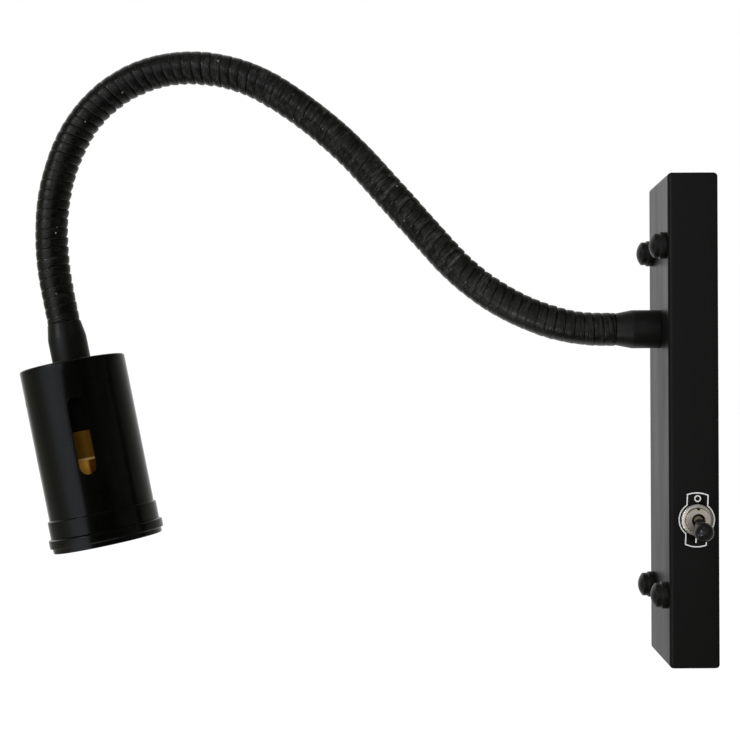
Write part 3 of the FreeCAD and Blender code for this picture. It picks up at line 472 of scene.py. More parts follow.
def standing(point, direction, across=(0, 1, 0)):
    """Where a piece stands: its Z axis points in a direction from a point in millimetres."""
    up = Vector(direction).normalized()
    side = Vector(across)
    side = (side - up * side.dot(up)).normalized()
    turn = Matrix((side.cross(up), side, up)).transposed().to_4x4()
    return Matrix.Translation(Vector(point) * MM) @ turn


def fit(piece, material, body, place=None, instead_of=()):
    """Puts a finished piece in its place on a body of the lamp."""
    if place is not None:
        piece.matrix_world = place
    piece.data.materials.clear()
    piece.data.materials.append(material)
    if instead_of:
        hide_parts(*instead_of)
    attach(piece, body)
    return piece


BOX_HEIGHT, BOX_WIDTH, BOX_DEPTH, SHEET = 250.0, 60.0, 25.0, 1.5
FOLD, CORNER, BROKEN_EDGE = 2.2, 2.0, 0.25
FRONT, SIDE, PAST_RIM = -BOX_DEPTH, -BOX_WIDTH / 2, -4.0


def box_ring(inset, corner, x, at_rim=False):
    """Points round the housing, inside its sides by this much. At the wall the sides have rounded corners."""
    y, z = BOX_WIDTH / 2 - inset, BOX_HEIGHT / 2 - inset
    ring = []
    corners = [(across, up, corner) for across, up in ((-y, -z), (y, -z), (y, z), (-y, z))]
    for across, up in rounded(corners, steps=6):
        over = max(0.0, abs(up) - z + CORNER)
        back = CORNER - math.sqrt(max(0.0, CORNER**2 - over**2)) if at_rim else 0.0
        ring.append((x - back, across, up))
    return ring


def shell_rings(inset, corner, fold, toward_rim):
    """The rings of the outside or the inside of the sheet, from the wall to the front."""
    rings = []
    for angle in (90, 45, 0):
        shift = BROKEN_EDGE * (1 - math.cos(math.radians(angle))) * toward_rim
        x = -BROKEN_EDGE * (1 - math.sin(math.radians(angle)))
        rings.append(box_ring(inset + shift, corner, x, at_rim=True))
    start = FRONT + FOLD
    rings += [box_ring(inset, corner, x) for x in (PAST_RIM, start)]
    for angle in (15, 30, 45, 60, 75, 90):
        drawn_in = fold * (1 - math.cos(math.radians(angle)))
        x = start - fold * math.sin(math.radians(angle))
        rings.append(box_ring(inset + drawn_in, max(corner - drawn_in, 0.3), x))
    rings.append(box_ring(inset + fold + 0.4, 0.3, start - fold))
    return rings


rings = list(reversed(shell_rings(SHEET, CORNER - SHEET, FOLD - SHEET, -1)))
rings += shell_rings(0.0, CORNER, FOLD, 1)
round_count = len(rings[0])
vertices = [(x * MM, y * MM, z * MM) for ring in rings for x, y, z in ring]
faces = [tuple(range(round_count)), tuple(reversed(range(len(vertices) - round_count, len(vertices))))]
for ring in range(len(rings) - 1):
    low, high = ring * round_count, (ring + 1) * round_count
    for n in range(round_count):
        m = (n + 1) % round_count
        faces.append((low + n, high + n, high + m, low + m))
housing = new_piece("housing_sheet", vertices, faces)
STUD_SIDE, STUD_LEVEL, NECK_LEVEL = 20.8, 89.0, 47.4
STUDS = [(FRONT, side * STUD_SIDE, level * STUD_LEVEL) for side in (-1, 1) for level in (-1, 1)]
SWITCH_X, SWITCH_LEVEL = -11.4, -49.9
STUD_HOLE, THREAD_HOLE, SWITCH_HOLE = 2.25, 5.25, 6.25
OUT_OF_FRONT, OUT_OF_SIDE = (-1, 0, 0), (0, -1, 0)
holes = [(stud, OUT_OF_FRONT, STUD_HOLE) for stud in STUDS]
holes.append(((FRONT, 0, NECK_LEVEL), OUT_OF_FRONT, THREAD_HOLE))
holes.append(((SWITCH_X, SIDE, SWITCH_LEVEL), OUT_OF_SIDE, SWITCH_HOLE))
for middle, outward, radius in holes:
    punch = prism("punch", ring_points(radius, 0, 0, 48), -4, 4)
    punch.matrix_world = standing(middle, outward, (0, 0, 1) if outward[1] else (0, 1, 0))
    carve(housing, punch)
smooth(housing.data)
fit(housing, powder_coat, "base", None, ("housing_box",))

# The wall bracket: a flat plate of zinc plated steel behind the open back of the housing, with two upright
# slots for the wall screws, a hole for the mains cable and four studs pressed in from behind.
def paint(node, material):
    """Gives a piece that keeps its CAD shape its finish."""
    mesh = nodes[node].data
    mesh.materials.clear()
    mesh.materials.append(material)


zinc = finish(
    "zinc_plated_steel",
    (9.0, (1.0, 1.0, 0.5), 0.22),
    (0.54, 0.55, 0.58),
    (0.68, 0.68, 0.69),
    rough=(0.46, 0.30),
    skin=(0.25, 0.006),
    edge=(0.3, 0.5, (0.80, 0.80, 0.81)),
    Metallic=0.5,
)
paint("wall_bracket", zinc)
paint("bracket_studs", zinc)

# The four cap nuts: turned black, each with a wider collar that presses on the front and a low dome. They
# screw on to the studs and hold the housing to the wall bracket.
ON_AXIS = 1e-6


def turned(name, outline, around=96, sharp=35):
    """A solid turned about its own Z axis from an outline of radius and height in millimetres. An outline
    that begins and ends on the axis closes there, and any other closes on itself."""
    vertices, rings = [], []
    for radius, height in outline:
        if radius < ON_AXIS:
            rings.append([len(vertices)] * around)
            vertices.append((0, 0, height * MM))
            continue
        rings.append(range(len(vertices), len(vertices) + around))
        for step in range(around):
            angle = 2 * math.pi * step / around
            vertices.append((radius * MM * math.cos(angle), radius * MM * math.sin(angle), height * MM))
    closed = outline[0][0] > ON_AXIS or outline[-1][0] > ON_AXIS
    faces = []
    for number in range(len(rings) if closed else len(rings) - 1):
        low, high = rings[number], rings[(number + 1) % len(rings)]
        for step in range(around):
            after = (step + 1) % around
            corners = [low[step], low[after], high[after], high[step]]
            face = list(dict.fromkeys(corners))
            if len(face) > 2:
                faces.append(face)
    return new_piece(name, vertices, faces, sharp)


def black_satin(name, patch, shine, stretch, dust, wear, dark, light):
    """Black satin lacquer on turned or spun metal, with handling marks and a little settled dust."""

    def dusty(tree, colour, marks):
        return blend_of(tree, product(tree, marks["Fine"], dust), colour, (0.06, 0.058, 0.054, 1))

    return finish(
        name,
        (patch, stretch, 0.16),
        (dark, dark, dark * 0.75),
        (light, light, light * 0.78),
        rough=(shine + 0.10, shine),
        skin=(0.35, 0.003),
        edge=(0.35, wear, (0.030, 0.029, 0.027)),
        over=dusty,
        Specular_IOR_Level=0.27,
    )


turned_black = black_satin("black_turned_metal", 6.0, 0.34, EVENLY, 0.10, 0.12, 0.0020, 0.0044)
COLLAR_RADIUS, COLLAR_HEIGHT, STUD_BORE, BORE_DEPTH = 6.8, 3.1, 2.05, 6.6
CAP_RADIUS, CAP_TOP, DOME_RISE, DOME_SHARE = 6.1, 5.8, 2.4, 0.93
dome_ball = (CAP_RADIUS**2 + DOME_RISE**2) / (2 * DOME_RISE)
dome = []
for step in range(9):
    across = CAP_RADIUS * DOME_SHARE * (1 - step / 8)
    dome.append((across, CAP_TOP + DOME_RISE - dome_ball + math.sqrt(dome_ball**2 - across**2)))
bore_and_collar = rounded(
    [
        (0.0, BORE_DEPTH, 0),
        (STUD_BORE, BORE_DEPTH, 0),
        (STUD_BORE, 0.0, 0.2),
        (COLLAR_RADIUS, 0.0, 0.2),
        (COLLAR_RADIUS, COLLAR_HEIGHT, 0.45),
        (CAP_RADIUS, COLLAR_HEIGHT, 0.25),
        (CAP_RADIUS, CAP_TOP, 0.5),
        (CAP_RADIUS * DOME_SHARE, dome[0][1], 0.2),
        (0.0, CAP_TOP + DOME_RISE, 0),
    ]
)
cap_outline = bore_and_collar[:-1] + dome[1:]
for number, stud in enumerate(STUDS, start=1):
    cap_nut = turned(f"cap_nut_{number}", cap_outline, around=64)
    place = standing(stud, OUT_OF_FRONT)
    fit(cap_nut, turned_black, "base", place, ("cap_nuts",))

# The terminal block: a white moulded bar that is fixed to the bracket. Each of its poles has a wire way and a
# screw well.
moulding = finish(
    "white_moulding",
    (7.0, EVENLY, 0.25),
    (0.74, 0.72, 0.66),
    (0.80, 0.79, 0.74),
    rough=(0.55, 0.42),
    skin=(0.5, 0.01),
)
paint("terminal_block", moulding)

# The base ferrule: a turned black sleeve that covers the joint of neck and housing. Its threaded end goes
# through the front and a thin zinc plated nut holds it from behind.
def threaded(radius, start, end, pitch, depth):
    """The outline of a thread along a turned piece, from start to end."""
    turns = max(1, round(abs(end - start) / pitch))
    step = (end - start) / turns
    outline = []
    for turn in range(turns):
        foot = start + turn * step
        outline += [(radius - depth, foot), (radius, foot + 0.42 * step), (radius, foot + 0.58 * step)]
    return outline + [(radius - depth, end)]


THREAD, THREAD_PITCH, THREAD_DEPTH, WIRE_BORE = 5.0, 1.0, 0.5, 3.6
BASE_THREAD, FERRULE, FERRULE_RADIUS, FERRULE_END = 8.5, 23.0, 10.0, 8.25
ferrule_outline = [(WIRE_BORE, -BASE_THREAD)]
ferrule_outline += threaded(THREAD, -BASE_THREAD, 0.0, THREAD_PITCH, THREAD_DEPTH)
ferrule_outline += rounded(
    [
        (THREAD, 0.0, 0),
        (FERRULE_RADIUS, 0.0, 0.3),
        (FERRULE_RADIUS, 14.2, 7.0),
        (FERRULE_END, FERRULE, 0.7),
        (7.3, FERRULE, 0.2),
        (WIRE_BORE, 22.4, 0),
    ],
    steps=8,
)[1:]
base_ferrule = turned("base_ferrule_turned", ferrule_outline, sharp=32)
base_place = standing((FRONT, 0, NECK_LEVEL), OUT_OF_FRONT)
fit(base_ferrule, turned_black, "base", base_place, ("base_ferrule",))
paint("base_nut", zinc)

# The toggle switch behind the side of the housing: a dark moulded body under a nickel plated cover, with two
# brass blades. Its threaded bushing comes out through the side, with a back nut inside.
def off_axis(tree, point, low, high):
    """A mask by the distance in millimetres from a line along Y through this point."""
    body_place = add(tree, "TexCoord").outputs["Object"]
    spot = [value * MM for value in point]
    apart = add(tree, "VectorMath", {0: body_place, 1: spot}, operation="SUBTRACT").outputs[0]
    apart = add(tree, "VectorMath", {0: apart, 1: (1.0, 0.0, 1.0)}, operation="MULTIPLY").outputs[0]
    apart = add(tree, "VectorMath", {0: apart}, operation="LENGTH").outputs["Value"]
    return carried(tree, apart, low * MM, high * MM)


PLATED_MARKS, PLATED_ROUGH, PLATED_SKIN = (2.5, EVENLY, 0.2), (0.34, 0.24), (0.3, 0.003)
nickel = finish(
    "nickel_plate",
    PLATED_MARKS,
    (0.74, 0.69, 0.60),
    (0.84, 0.80, 0.72),
    rough=PLATED_ROUGH,
    skin=PLATED_SKIN,
    Metallic=1.0,
)
brass = finish(
    "brass",
    (5.0, (1.0, 1.0, 0.35), 0.25),
    (0.50, 0.27, 0.055),
    (0.68, 0.42, 0.11),
    rough=(0.34, 0.24),
    skin=(0.4, 0.01),
    edge=(0.3, 0.7, (0.85, 0.62, 0.25)),
    Metallic=1.0,
)
phenolic = finish(
    "black_phenolic",
    (5.0, EVENLY, 0.2),
    (0.0018, 0.0014, 0.0012),
    (0.0040, 0.0030, 0.0025),
    rough=(0.62, 0.50),
    skin=(0.6, 0.01),
    Specular_IOR_Level=0.08,
)
paint("switch_body", phenolic)
paint("switch_terminals", brass)
paint("switch_back_nut", nickel)
paint("switch_pivot_pin", zinc)
switch_face = standing((SWITCH_X, SIDE, SWITCH_LEVEL), OUT_OF_SIDE, (0, 0, 1))


def shaded_bore(tree, colour, marks):
    """Painted shade inside the bushing: its bore is painted dark brown where the gap round the ball lies in
    shade.
    """
    inside = off_axis(tree, (SWITCH_X, 0.0, SWITCH_LEVEL), 3.5, 3.3)
    return blend_of(tree, inside, colour, (0.020, 0.009, 0.004, 1))


# the bushing's nickel, with painted shade in its bore
nickel_with_shaded_bore = finish(
    "nickel_plate_of_bushing",
    PLATED_MARKS,
    (0.76, 0.69, 0.58),
    (0.84, 0.79, 0.70),
    rough=PLATED_ROUGH,
    skin=PLATED_SKIN,
    over=shaded_bore,
    Metallic=1.0,
)
paint("switch_bushing", nickel_with_shaded_bore)

# The legend plate under the front nut: a thin black gloss plate, a disc with a tab above and below. It is
# printed in silver with a line round its edge, O in its upper tab and I in its lower one.
PLATE_DISC, PLATE_HALF_TAB, PLATE_HALF_LENGTH = 9.4, 5.75, 14.1
PLATE_SLIP = math.radians(-2.5)
plate_place = switch_face @ Matrix.Rotation(PLATE_SLIP, 4, "Z")
PLATE_SHEET, PRINT = 0.6, 0.04


def plate_edge(inset, steps=28):
    """The plate's outline, this far inside its edge."""
    disc = PLATE_DISC - inset
    tab = PLATE_HALF_TAB - inset
    end = PLATE_HALF_LENGTH - inset
    waist = math.sqrt(disc**2 - tab**2)
    corner = math.asin(tab / end)
    top = [(end * math.sin(a), end * math.cos(a)) for a in np.linspace(-corner, corner, 9)]
    low, high = math.atan2(-waist, tab), math.atan2(waist, tab)
    right = [(disc * math.cos(a), disc * math.sin(a)) for a in np.linspace(high, low, steps)]
    half = top + right
    return half + [(-x, -y) for x, y in half]


gloss_plate = finish(
    "black_gloss_plate",
    (4.0, EVENLY, 0.25),
    (0.0020, 0.0020, 0.0016),
    (0.0040, 0.0040, 0.0034),
    rough=(0.30, 0.20),
    Specular_IOR_Level=0.16,
)
silver_print = finish(
    "silver_print",
    (1.2, EVENLY, 0.3),
    (0.52, 0.52, 0.50),
    (0.66, 0.66, 0.64),
    rough=(0.5, 0.4),
    Specular_IOR_Level=0.4,
)
BUSHING_BORE = 6.05
blank = prism("legend_plate", plate_edge(0.0), 0.0, PLATE_SHEET)
plate = carve(blank, prism("plate_bore", ring_points(BUSHING_BORE, 0, 0, 64), -1, 2))
fit(plate, gloss_plate, "base", plate_place, ("switch_legend_plate",))


def printed(name, outer, inner):
    """A flat printed line between two outlines of as many points, just proud of the plate."""
    count = len(outer)
    low, high = PLATE_SHEET * MM, (PLATE_SHEET + PRINT) * MM
    vertices = [(x * MM, y * MM, z) for z in (low, high) for x, y in list(outer) + list(inner)]
    faces = []
    for n in range(count):
        m = (n + 1) % count
        faces.append((2 * count + n, 2 * count + m, 3 * count + m, 3 * count + n))
        faces.append((n, count + n, count + m, m))
        faces.append((n, m, 2 * count + m, 2 * count + n))
        faces.append((count + m, count + n, 3 * count + n, 3 * count + m))
    return new_piece(name, vertices, faces)


BORDER_OUT, BORDER_IN = 0.25, 0.85
MARK_LEVEL, MARK_OUT, MARK_IN = 10.7, 1.72, 1.12
STROKE_HALF, STROKE_LOW, STROKE_HIGH, STROKE_CORNER = 0.32, -11.6, -9.0, 0.15
border = printed("legend_border", plate_edge(BORDER_OUT), plate_edge(BORDER_IN))
mark_off = printed("legend_off", ring_points(MARK_OUT, 0, MARK_LEVEL), ring_points(MARK_IN, 0, MARK_LEVEL))
stroke = [(-STROKE_HALF, STROKE_LOW), (STROKE_HALF, STROKE_LOW), (STROKE_HALF, STROKE_HIGH)]
stroke = rounded([(x, y, STROKE_CORNER) for x, y in stroke + [(-STROKE_HALF, STROKE_HIGH)]])
mark_on = prism("legend_on", stroke, PLATE_SHEET, PLATE_SHEET + PRINT)
for print_line in (border, mark_off, mark_on):
    fit(print_line, silver_print, "base", plate_place)

# The front nut: a round nickel plated nut with broken edges, which clamps the plate to the housing's side.
NUT_RADIUS = 8.0
nut_outline = rounded(
    [
        (BUSHING_BORE, PLATE_SHEET, 0.0),
        (NUT_RADIUS, PLATE_SHEET, 0.25),
        (NUT_RADIUS, 2.9, 0.3),
        (6.45, 3.25, 0.12),
        (BUSHING_BORE, 2.7, 0.0),
    ],
    steps=3,
)
front_nut = turned("front_nut", nut_outline)
fit(front_nut, nickel, "base", switch_face, ("switch_ring_nut",))

# The lever: a brass ball in the bushing on a cross pin, with a short rod that carries a black moulded cap
# with a ball end. It tips about the pin, and at rest it points down.
TILT = math.radians(16)
PIVOT = 2.7
pivot_point = (SWITCH_X, SIDE - PIVOT, SWITCH_LEVEL)
lever_out, lever_up = (0, -math.cos(TILT), -math.sin(TILT)), (0, -math.sin(TILT), math.cos(TILT))
lever_place = standing(pivot_point, lever_out, lever_up)


def shaded_ball_rim(tree, colour, marks):
    """Painted shade round the ball, away from its middle, where it sinks into the bushing."""
    outer = off_axis(tree, (SWITCH_X, 0.0, SWITCH_LEVEL), 2.0, 2.6)
    return blend_of(tree, outer, colour, (0.012, 0.005, 0.002, 1))


# the lever's ball, with painted shade round its rim
ball_brass_with_shade = finish(
    "brass_ball_with_painted_shade",
    (1.5, EVENLY, 0.25),
    (0.20, 0.165, 0.10),
    (0.30, 0.25, 0.16),
    rough=(0.36, 0.24),
    over=shaded_ball_rim,
    Metallic=0.55,
)
paint("switch_lever", ball_brass_with_shade)
cap_plastic = finish(
    "black_cap_plastic",
    (3.0, EVENLY, 0.25),
    (0.0040, 0.0040, 0.0036),
    (0.0085, 0.0085, 0.0078),
    rough=(0.20, 0.14),
    skin=(0.7, 0.004),
    Specular_IOR_Level=0.36,
)
BALL, BALL_MIDDLE = 4.85, 16.6
ball = [(BALL * math.cos(a), BALL_MIDDLE + BALL * math.sin(a)) for a in np.radians(np.linspace(-38, 90, 22))]
ball[-1] = (0.0, BALL_MIDDLE + BALL)
neck_in = [(2.25, 3.7), (2.42, 6.0), (2.72, 9.0), (3.05, 11.2)]
bat_outline = [(0.0, 12.05), (1.45, 12.05), (1.45, 3.4), (2.0, 3.4)] + neck_in + ball
bat_cap = turned("lever_cap", bat_outline, around=72, sharp=50)
fit(bat_cap, cap_plastic, "switch_lever_body", lever_place, ("switch_lever_cap",))

# The holding core: nine stretches of steel inside the neck, which keep it where it is bent. They don't show.
core_steel = finish(
    "core_steel",
    (4.0, EVENLY, 0.25),
    (0.30, 0.30, 0.30),
    (0.42, 0.42, 0.41),
    rough=(0.5, 0.35),
    skin=(0.6, 0.01),
    Metallic=1.0,
)
for stretch in range(1, 10):
    paint(f"neck_core_{stretch}", core_steel)

# The ribbed sleeve of the neck: black rubbery plastic wound over the core in one long spiral, each turn
# lapping the next. It is made as that spiral, in eight lengths that each lie round one joint of the core.
BENDS = (
    # length along the neck in millimetres, and how far it turns there in degrees
    (8, 0),
    (22, -15.3),
    (71, -33),
    (58, 0),
    (66.5, 16.7),
    (49, 33.7),
    (71, 59.9),
    (46.5, 25.7),
    (35.6, 13.4),
    (17.5, 0),
)
NECK_START = (-48.0, 47.4)
neck_length = sum(length for length, turn in BENDS)
STEP = 0.25
along = np.arange(0, neck_length + STEP / 2, STEP)
turning = np.zeros(len(along))
reached = 0.0
for length, turn in BENDS:
    inside = (along >= reached) & (along < reached + length)
    turning[inside] = math.radians(turn) / length
    reached += length


def line_of(turning):
    """Where the neck runs: across, up and heading at each step along it."""
    heading = math.pi + np.concatenate([[0], np.cumsum((turning[1:] + turning[:-1]) / 2 * STEP)])
    middle = (heading[1:] + heading[:-1]) / 2
    across = NECK_START[0] + np.concatenate([[0], np.cumsum(np.cos(middle) * STEP)])
    up = NECK_START[1] + np.concatenate([[0], np.cumsum(np.sin(middle) * STEP)])
    return across, up, heading


# A wound core can't change its bend at once, so the bends run softly into each other.
EASE = 61
eased = np.convolve(np.pad(turning, EASE // 2, mode="edge"), np.ones(EASE) / EASE, mode="valid")
eased *= turning.sum() / eased.sum()
drawn_x, drawn_z, drawn_heading = line_of(turning)
neck_x, neck_z, neck_heading = line_of(eased)
share = along / neck_length
neck_x = neck_x + share * (drawn_x[-1] - neck_x[-1])
neck_z = neck_z + share * (drawn_z[-1] - neck_z[-1])
neck_heading = neck_heading + share * (drawn_heading[-1] - neck_heading[-1])

RIBS = 88
PITCH = neck_length / RIBS
AROUND = 80
CREST, CREST_AT_HEAD, GROOVE = 8.62, 8.36, 0.80
NARROWS_FROM, NARROWS_OVER = 240, 80
SHALLOW_TO, SHALLOW_OVER, SHALLOWEST = 8, 70, 0.55
# how open the laps are in a straight stretch, how much a bend opens them, and the least and most they open
OPEN_STRAIGHT, OPENED_BY_BEND, LEAST_OPEN, MOST_OPEN = 0.52, 6.5, 0.38, 1.3
# how far down into the groove the surface lies, at shares of a turn's width
LAP = ((0.0, 1.0), (0.03, 0.70), (0.07, 0.38), (0.13, 0.14), (0.20, 0.03), (0.28, 0.0), (0.40, 0.04))
LAP += ((0.52, 0.11), (0.64, 0.21), (0.76, 0.35), (0.87, 0.53), (0.95, 0.76))
STREAK_REACH = 1.1
luck = random.Random(7)


def wander(count, size):
    """Values at each turn that differ a little, as hand work does."""
    return np.array([luck.uniform(-size, size) for n in range(count)])


turn_count = RIBS + 2
wide = wander(turn_count, 0.055)
proud = wander(turn_count, 0.12)
deep = 1 + wander(turn_count, 0.22)
lean = wander(turn_count, 0.10)
columns = turn_count * AROUND
spin = np.arange(columns + 1) / AROUND
turn_at = np.arange(turn_count)
spiral, depth_in, around_neck = [], [], []
for share_of_width, drop in LAP:
    place = (spin - 1 + share_of_width) * PITCH
    place += PITCH * np.interp(spin + share_of_width, turn_at, wide) * math.sin(math.pi * share_of_width)
    place = np.clip(place, 0, neck_length)
    angle = math.pi - 2 * math.pi * spin
    shallow = SHALLOWEST + (1 - SHALLOWEST) * np.clip((place - SHALLOW_TO) / SHALLOW_OVER, 0, 1)
    squeezed = -np.interp(place, along, eased) * CREST * np.cos(angle)
    openness = np.clip(OPEN_STRAIGHT + OPENED_BY_BEND * squeezed, LEAST_OPEN, MOST_OPEN)
    groove = GROOVE * drop * np.interp(spin, turn_at, deep) * shallow * openness
    crest = CREST + (CREST_AT_HEAD - CREST) * np.clip((place - NARROWS_FROM) / NARROWS_OVER, 0, 1)
    crest = crest + (1 - drop) * np.interp(spin, turn_at, proud)
    tilt = np.interp(spin, turn_at, lean) * (share_of_width - 0.5) * np.cos(angle * 2 + spin)
    radius = crest - groove + tilt
    radius = np.where((place <= 0) | (place >= neck_length), crest - GROOVE, radius)
    x = np.interp(place, along, neck_x)
    z = np.interp(place, along, neck_z)
    heading = np.interp(place, along, neck_heading)
    out_x, out_z = np.sin(heading), -np.cos(heading)
    lift = radius * np.cos(angle)
    spiral.append(np.stack([x + out_x * lift, -radius * np.sin(angle), z + out_z * lift], axis=1) * MM)
    depth_in.append(drop * openness)
    around_neck.append(np.stack([place, STREAK_REACH * np.cos(angle), STREAK_REACH * np.sin(angle)], axis=1))
spiral, depth_in, around_neck = (np.stack(rows, axis=1) for rows in (spiral, depth_in, around_neck))

# The rubber has gone chalky on its crests, in streaks round the neck. This lighter colour on the crests is
# also a painted highlight on each rib, weaker towards both ends of the neck. The grooves are painted darker
# for shade, and a few grains of grit stick to it.
rubber, tree = new_material("black_rubber_sleeve")
skin = placed(tree, coat_skin, Grain=0.7)
marks = placed(tree, wipe_marks, Patch=6.0, Stretch=EVENLY, Sharpness=0.14)
wrap = add(tree, "Attribute", attribute_name="round the neck").outputs["Vector"]
streaks = add(tree, "TexNoise", {"Vector": wrap, "Scale": 1.3, "Detail": 3.0, "Roughness": 0.6}).outputs[0]
streaks = carried(tree, streaks, 0.42, 0.60)
of_rib = add(tree, "TexNoise", {"Vector": wrap, "Scale": 0.24, "Detail": 1.0}).outputs[0]
of_rib = carried(tree, of_rib, 0.40, 0.60, 0.25, 1.0)
into_groove = add(tree, "Attribute", attribute_name="groove").outputs["Fac"]
on_crest = carried(tree, into_groove, 0.10, 0.01, 0.45, 1.0)
place_along = part_of(tree, wrap, "X")
# weaker towards both ends of the neck, where the painted highlight on the ribs fades
middle_from = carried(tree, place_along, 30.0, 80.0, 0.5, 1.0)
middle_stretch = product(tree, middle_from, carried(tree, place_along, 200.0, 290.0, 1.0, 0.20))
chalk_and_highlight = product(tree, streaks, of_rib, between(tree, marks["Mask"], 0.20, 0.90), on_crest, middle_stretch)
grit = add(tree, "TexVoronoi", {"Vector": add(tree, "TexCoord").outputs["Object"], "Scale": 260.0}).outputs
chosen = carried(tree, part_of(tree, grit["Color"], "X"), 0.90, 0.92)
grit = product(tree, carried(tree, grit["Distance"], 0.16, 0.08), chosen)
colour = blend_of(tree, marks["Mask"], (0.0008, 0.0008, 0.0005, 1), (0.0024, 0.0024, 0.0016, 1))
# chalky crests, which also carry a painted highlight on each rib
colour = blend_of(tree, chalk_and_highlight, colour, (0.050, 0.0505, 0.045, 1))
# painted shade: the grooves are painted darker
colour = blend_of(tree, carried(tree, into_groove, 0.35, 1.0, 0.0, 0.60), colour, (0.0010, 0.0010, 0.0006, 1))
colour = blend_of(tree, marks["Fine"], colour, (0.012, 0.012, 0.011, 1))
colour = blend_of(tree, grit, colour, (0.16, 0.16, 0.15, 1))
height = math_of(tree, "MULTIPLY_ADD", streaks, 0.7, skin["Height"])
surface(
    tree,
    Base_Color=colour,
    Roughness=between(tree, streaks, 0.36, 0.22),
    Specular_IOR_Level=0.30,
    Specular_Tint=(1.0, 0.995, 0.955, 1),
    Normal=raised(tree, height, 0.055),
)

LINK = neck_length / 9
SOFT_REACH = 18.0
lap_count = len(LAP)


def on_neck(place):
    """A point of the neck's centre line and its direction there."""
    point = Vector((np.interp(place, along, neck_x), 0, np.interp(place, along, neck_z)))
    heading = np.interp(place, along, neck_heading)
    return point, Vector((math.cos(heading), 0, math.sin(heading)))


for joint in range(8):
    first = 0 if joint == 0 else round(((joint + 0.5) * LINK / PITCH + 1) * AROUND)
    last = columns - 1 if joint == 7 else round(((joint + 1.5) * LINK / PITCH + 1) * AROUND)
    numbers = {}
    vertices, grooves, wraps, faces = [], [], [], []

    def vertex(column, lap):
        """The number of a point of the spiral in this piece. A lap's end is the start of the next turn."""
        if lap == lap_count:
            column, lap = column + AROUND, 0
        if column > columns:
            column, lap = columns, lap_count - 1
        if (column, lap) not in numbers:
            numbers[column, lap] = len(vertices)
            vertices.append(tuple(spiral[column, lap]))
            grooves.append(depth_in[column, lap])
            wraps.append(around_neck[column, lap])
        return numbers[column, lap]

    for column in range(first, last):
        for lap in range(lap_count):
            near_side = (vertex(column, lap), vertex(column, lap + 1))
            face = near_side + (vertex(column + 1, lap + 1), vertex(column + 1, lap))
            if len({vertices[n] for n in face}) > 2:
                faces.append(face)
    sleeve = new_piece(f"ribbed_sleeve_{joint + 1}", vertices, faces, sharp=70)
    in_groove = sleeve.data.attributes.new("groove", "FLOAT", "POINT")
    in_groove.data.foreach_set("value", np.array(grooves, np.float32))
    round_it = sleeve.data.attributes.new("round the neck", "FLOAT_VECTOR", "POINT")
    round_it.data.foreach_set("vector", np.array(wraps, np.float32).ravel())
    sleeve.data.materials.append(rubber)
    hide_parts("neck_sleeve")
    point, direction = on_neck((joint + 1) * LINK)
    start, end = (point - direction * SOFT_REACH) * MM, (point + direction * SOFT_REACH) * MM
    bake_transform(sleeve)

# The head ferrule: a turned black sleeve with a rounded shoulder between neck and cup. Its threaded end goes
# through the top of the cup, and a thin nut holds it inside.
neck_end, head_axis = on_neck(neck_length)
HEAD_FERRULE, HEAD_RADIUS, HEAD_MOUTH, HEAD_THREAD = 21.5, 9.85, 8.5, 13.0
cup_top = neck_end + head_axis * HEAD_FERRULE
head_outline = rounded(
    [
        (WIRE_BORE, 0.4, 0),
        (7.3, 0.0, 0.2),
        (HEAD_MOUTH, 0.0, 0.9),
        (HEAD_RADIUS, 8.2, 9.0),
        (HEAD_RADIUS, HEAD_FERRULE, 0.3),
        (THREAD, HEAD_FERRULE, 0),
    ],
    steps=8,
)
thread_end = HEAD_FERRULE + HEAD_THREAD
head_outline += threaded(THREAD, HEAD_FERRULE, thread_end, THREAD_PITCH, THREAD_DEPTH)[1:]
head_outline.append((WIRE_BORE, thread_end))
head_ferrule = turned("head_ferrule_turned", head_outline, sharp=32)
head_place = standing(neck_end, head_axis)
fit(head_ferrule, turned_black, "lamp_head", head_place, ("head_ferrule",))
paint("head_nut", zinc)

# The lamp cup: spun from one disc of steel and lacquered satin black, with an obround slot on the switch
# side, a small screw hole towards the wall and a wider band round its lower end.
spun_black = black_satin("black_spun_metal", 12.0, 0.15, (1.0, 1.0, 0.35), 0.04, 0.3, 0.0004, 0.0020)
CUP_RADIUS, CUP_INSIDE, CUP_TOP_SHEET = 27.1, 25.9, 1.5
BAND_RADIUS, BAND_START, BAND_END = CUP_RADIUS + 1.05, 79.0, 88.2
cup_outline = rounded(
    [
        (THREAD_HOLE, 0.0, 0.0),
        (CUP_RADIUS, 0.0, 1.1),
        (CUP_RADIUS, BAND_START, 0.5),
        (BAND_RADIUS, BAND_START + 0.35, 0.4),
        (BAND_RADIUS, BAND_END, 0.0),
        (CUP_INSIDE, BAND_END, 0.0),
        (CUP_INSIDE, CUP_TOP_SHEET, 0.9),
        (THREAD_HOLE, CUP_TOP_SHEET, 0.0),
    ],
    steps=5,
)
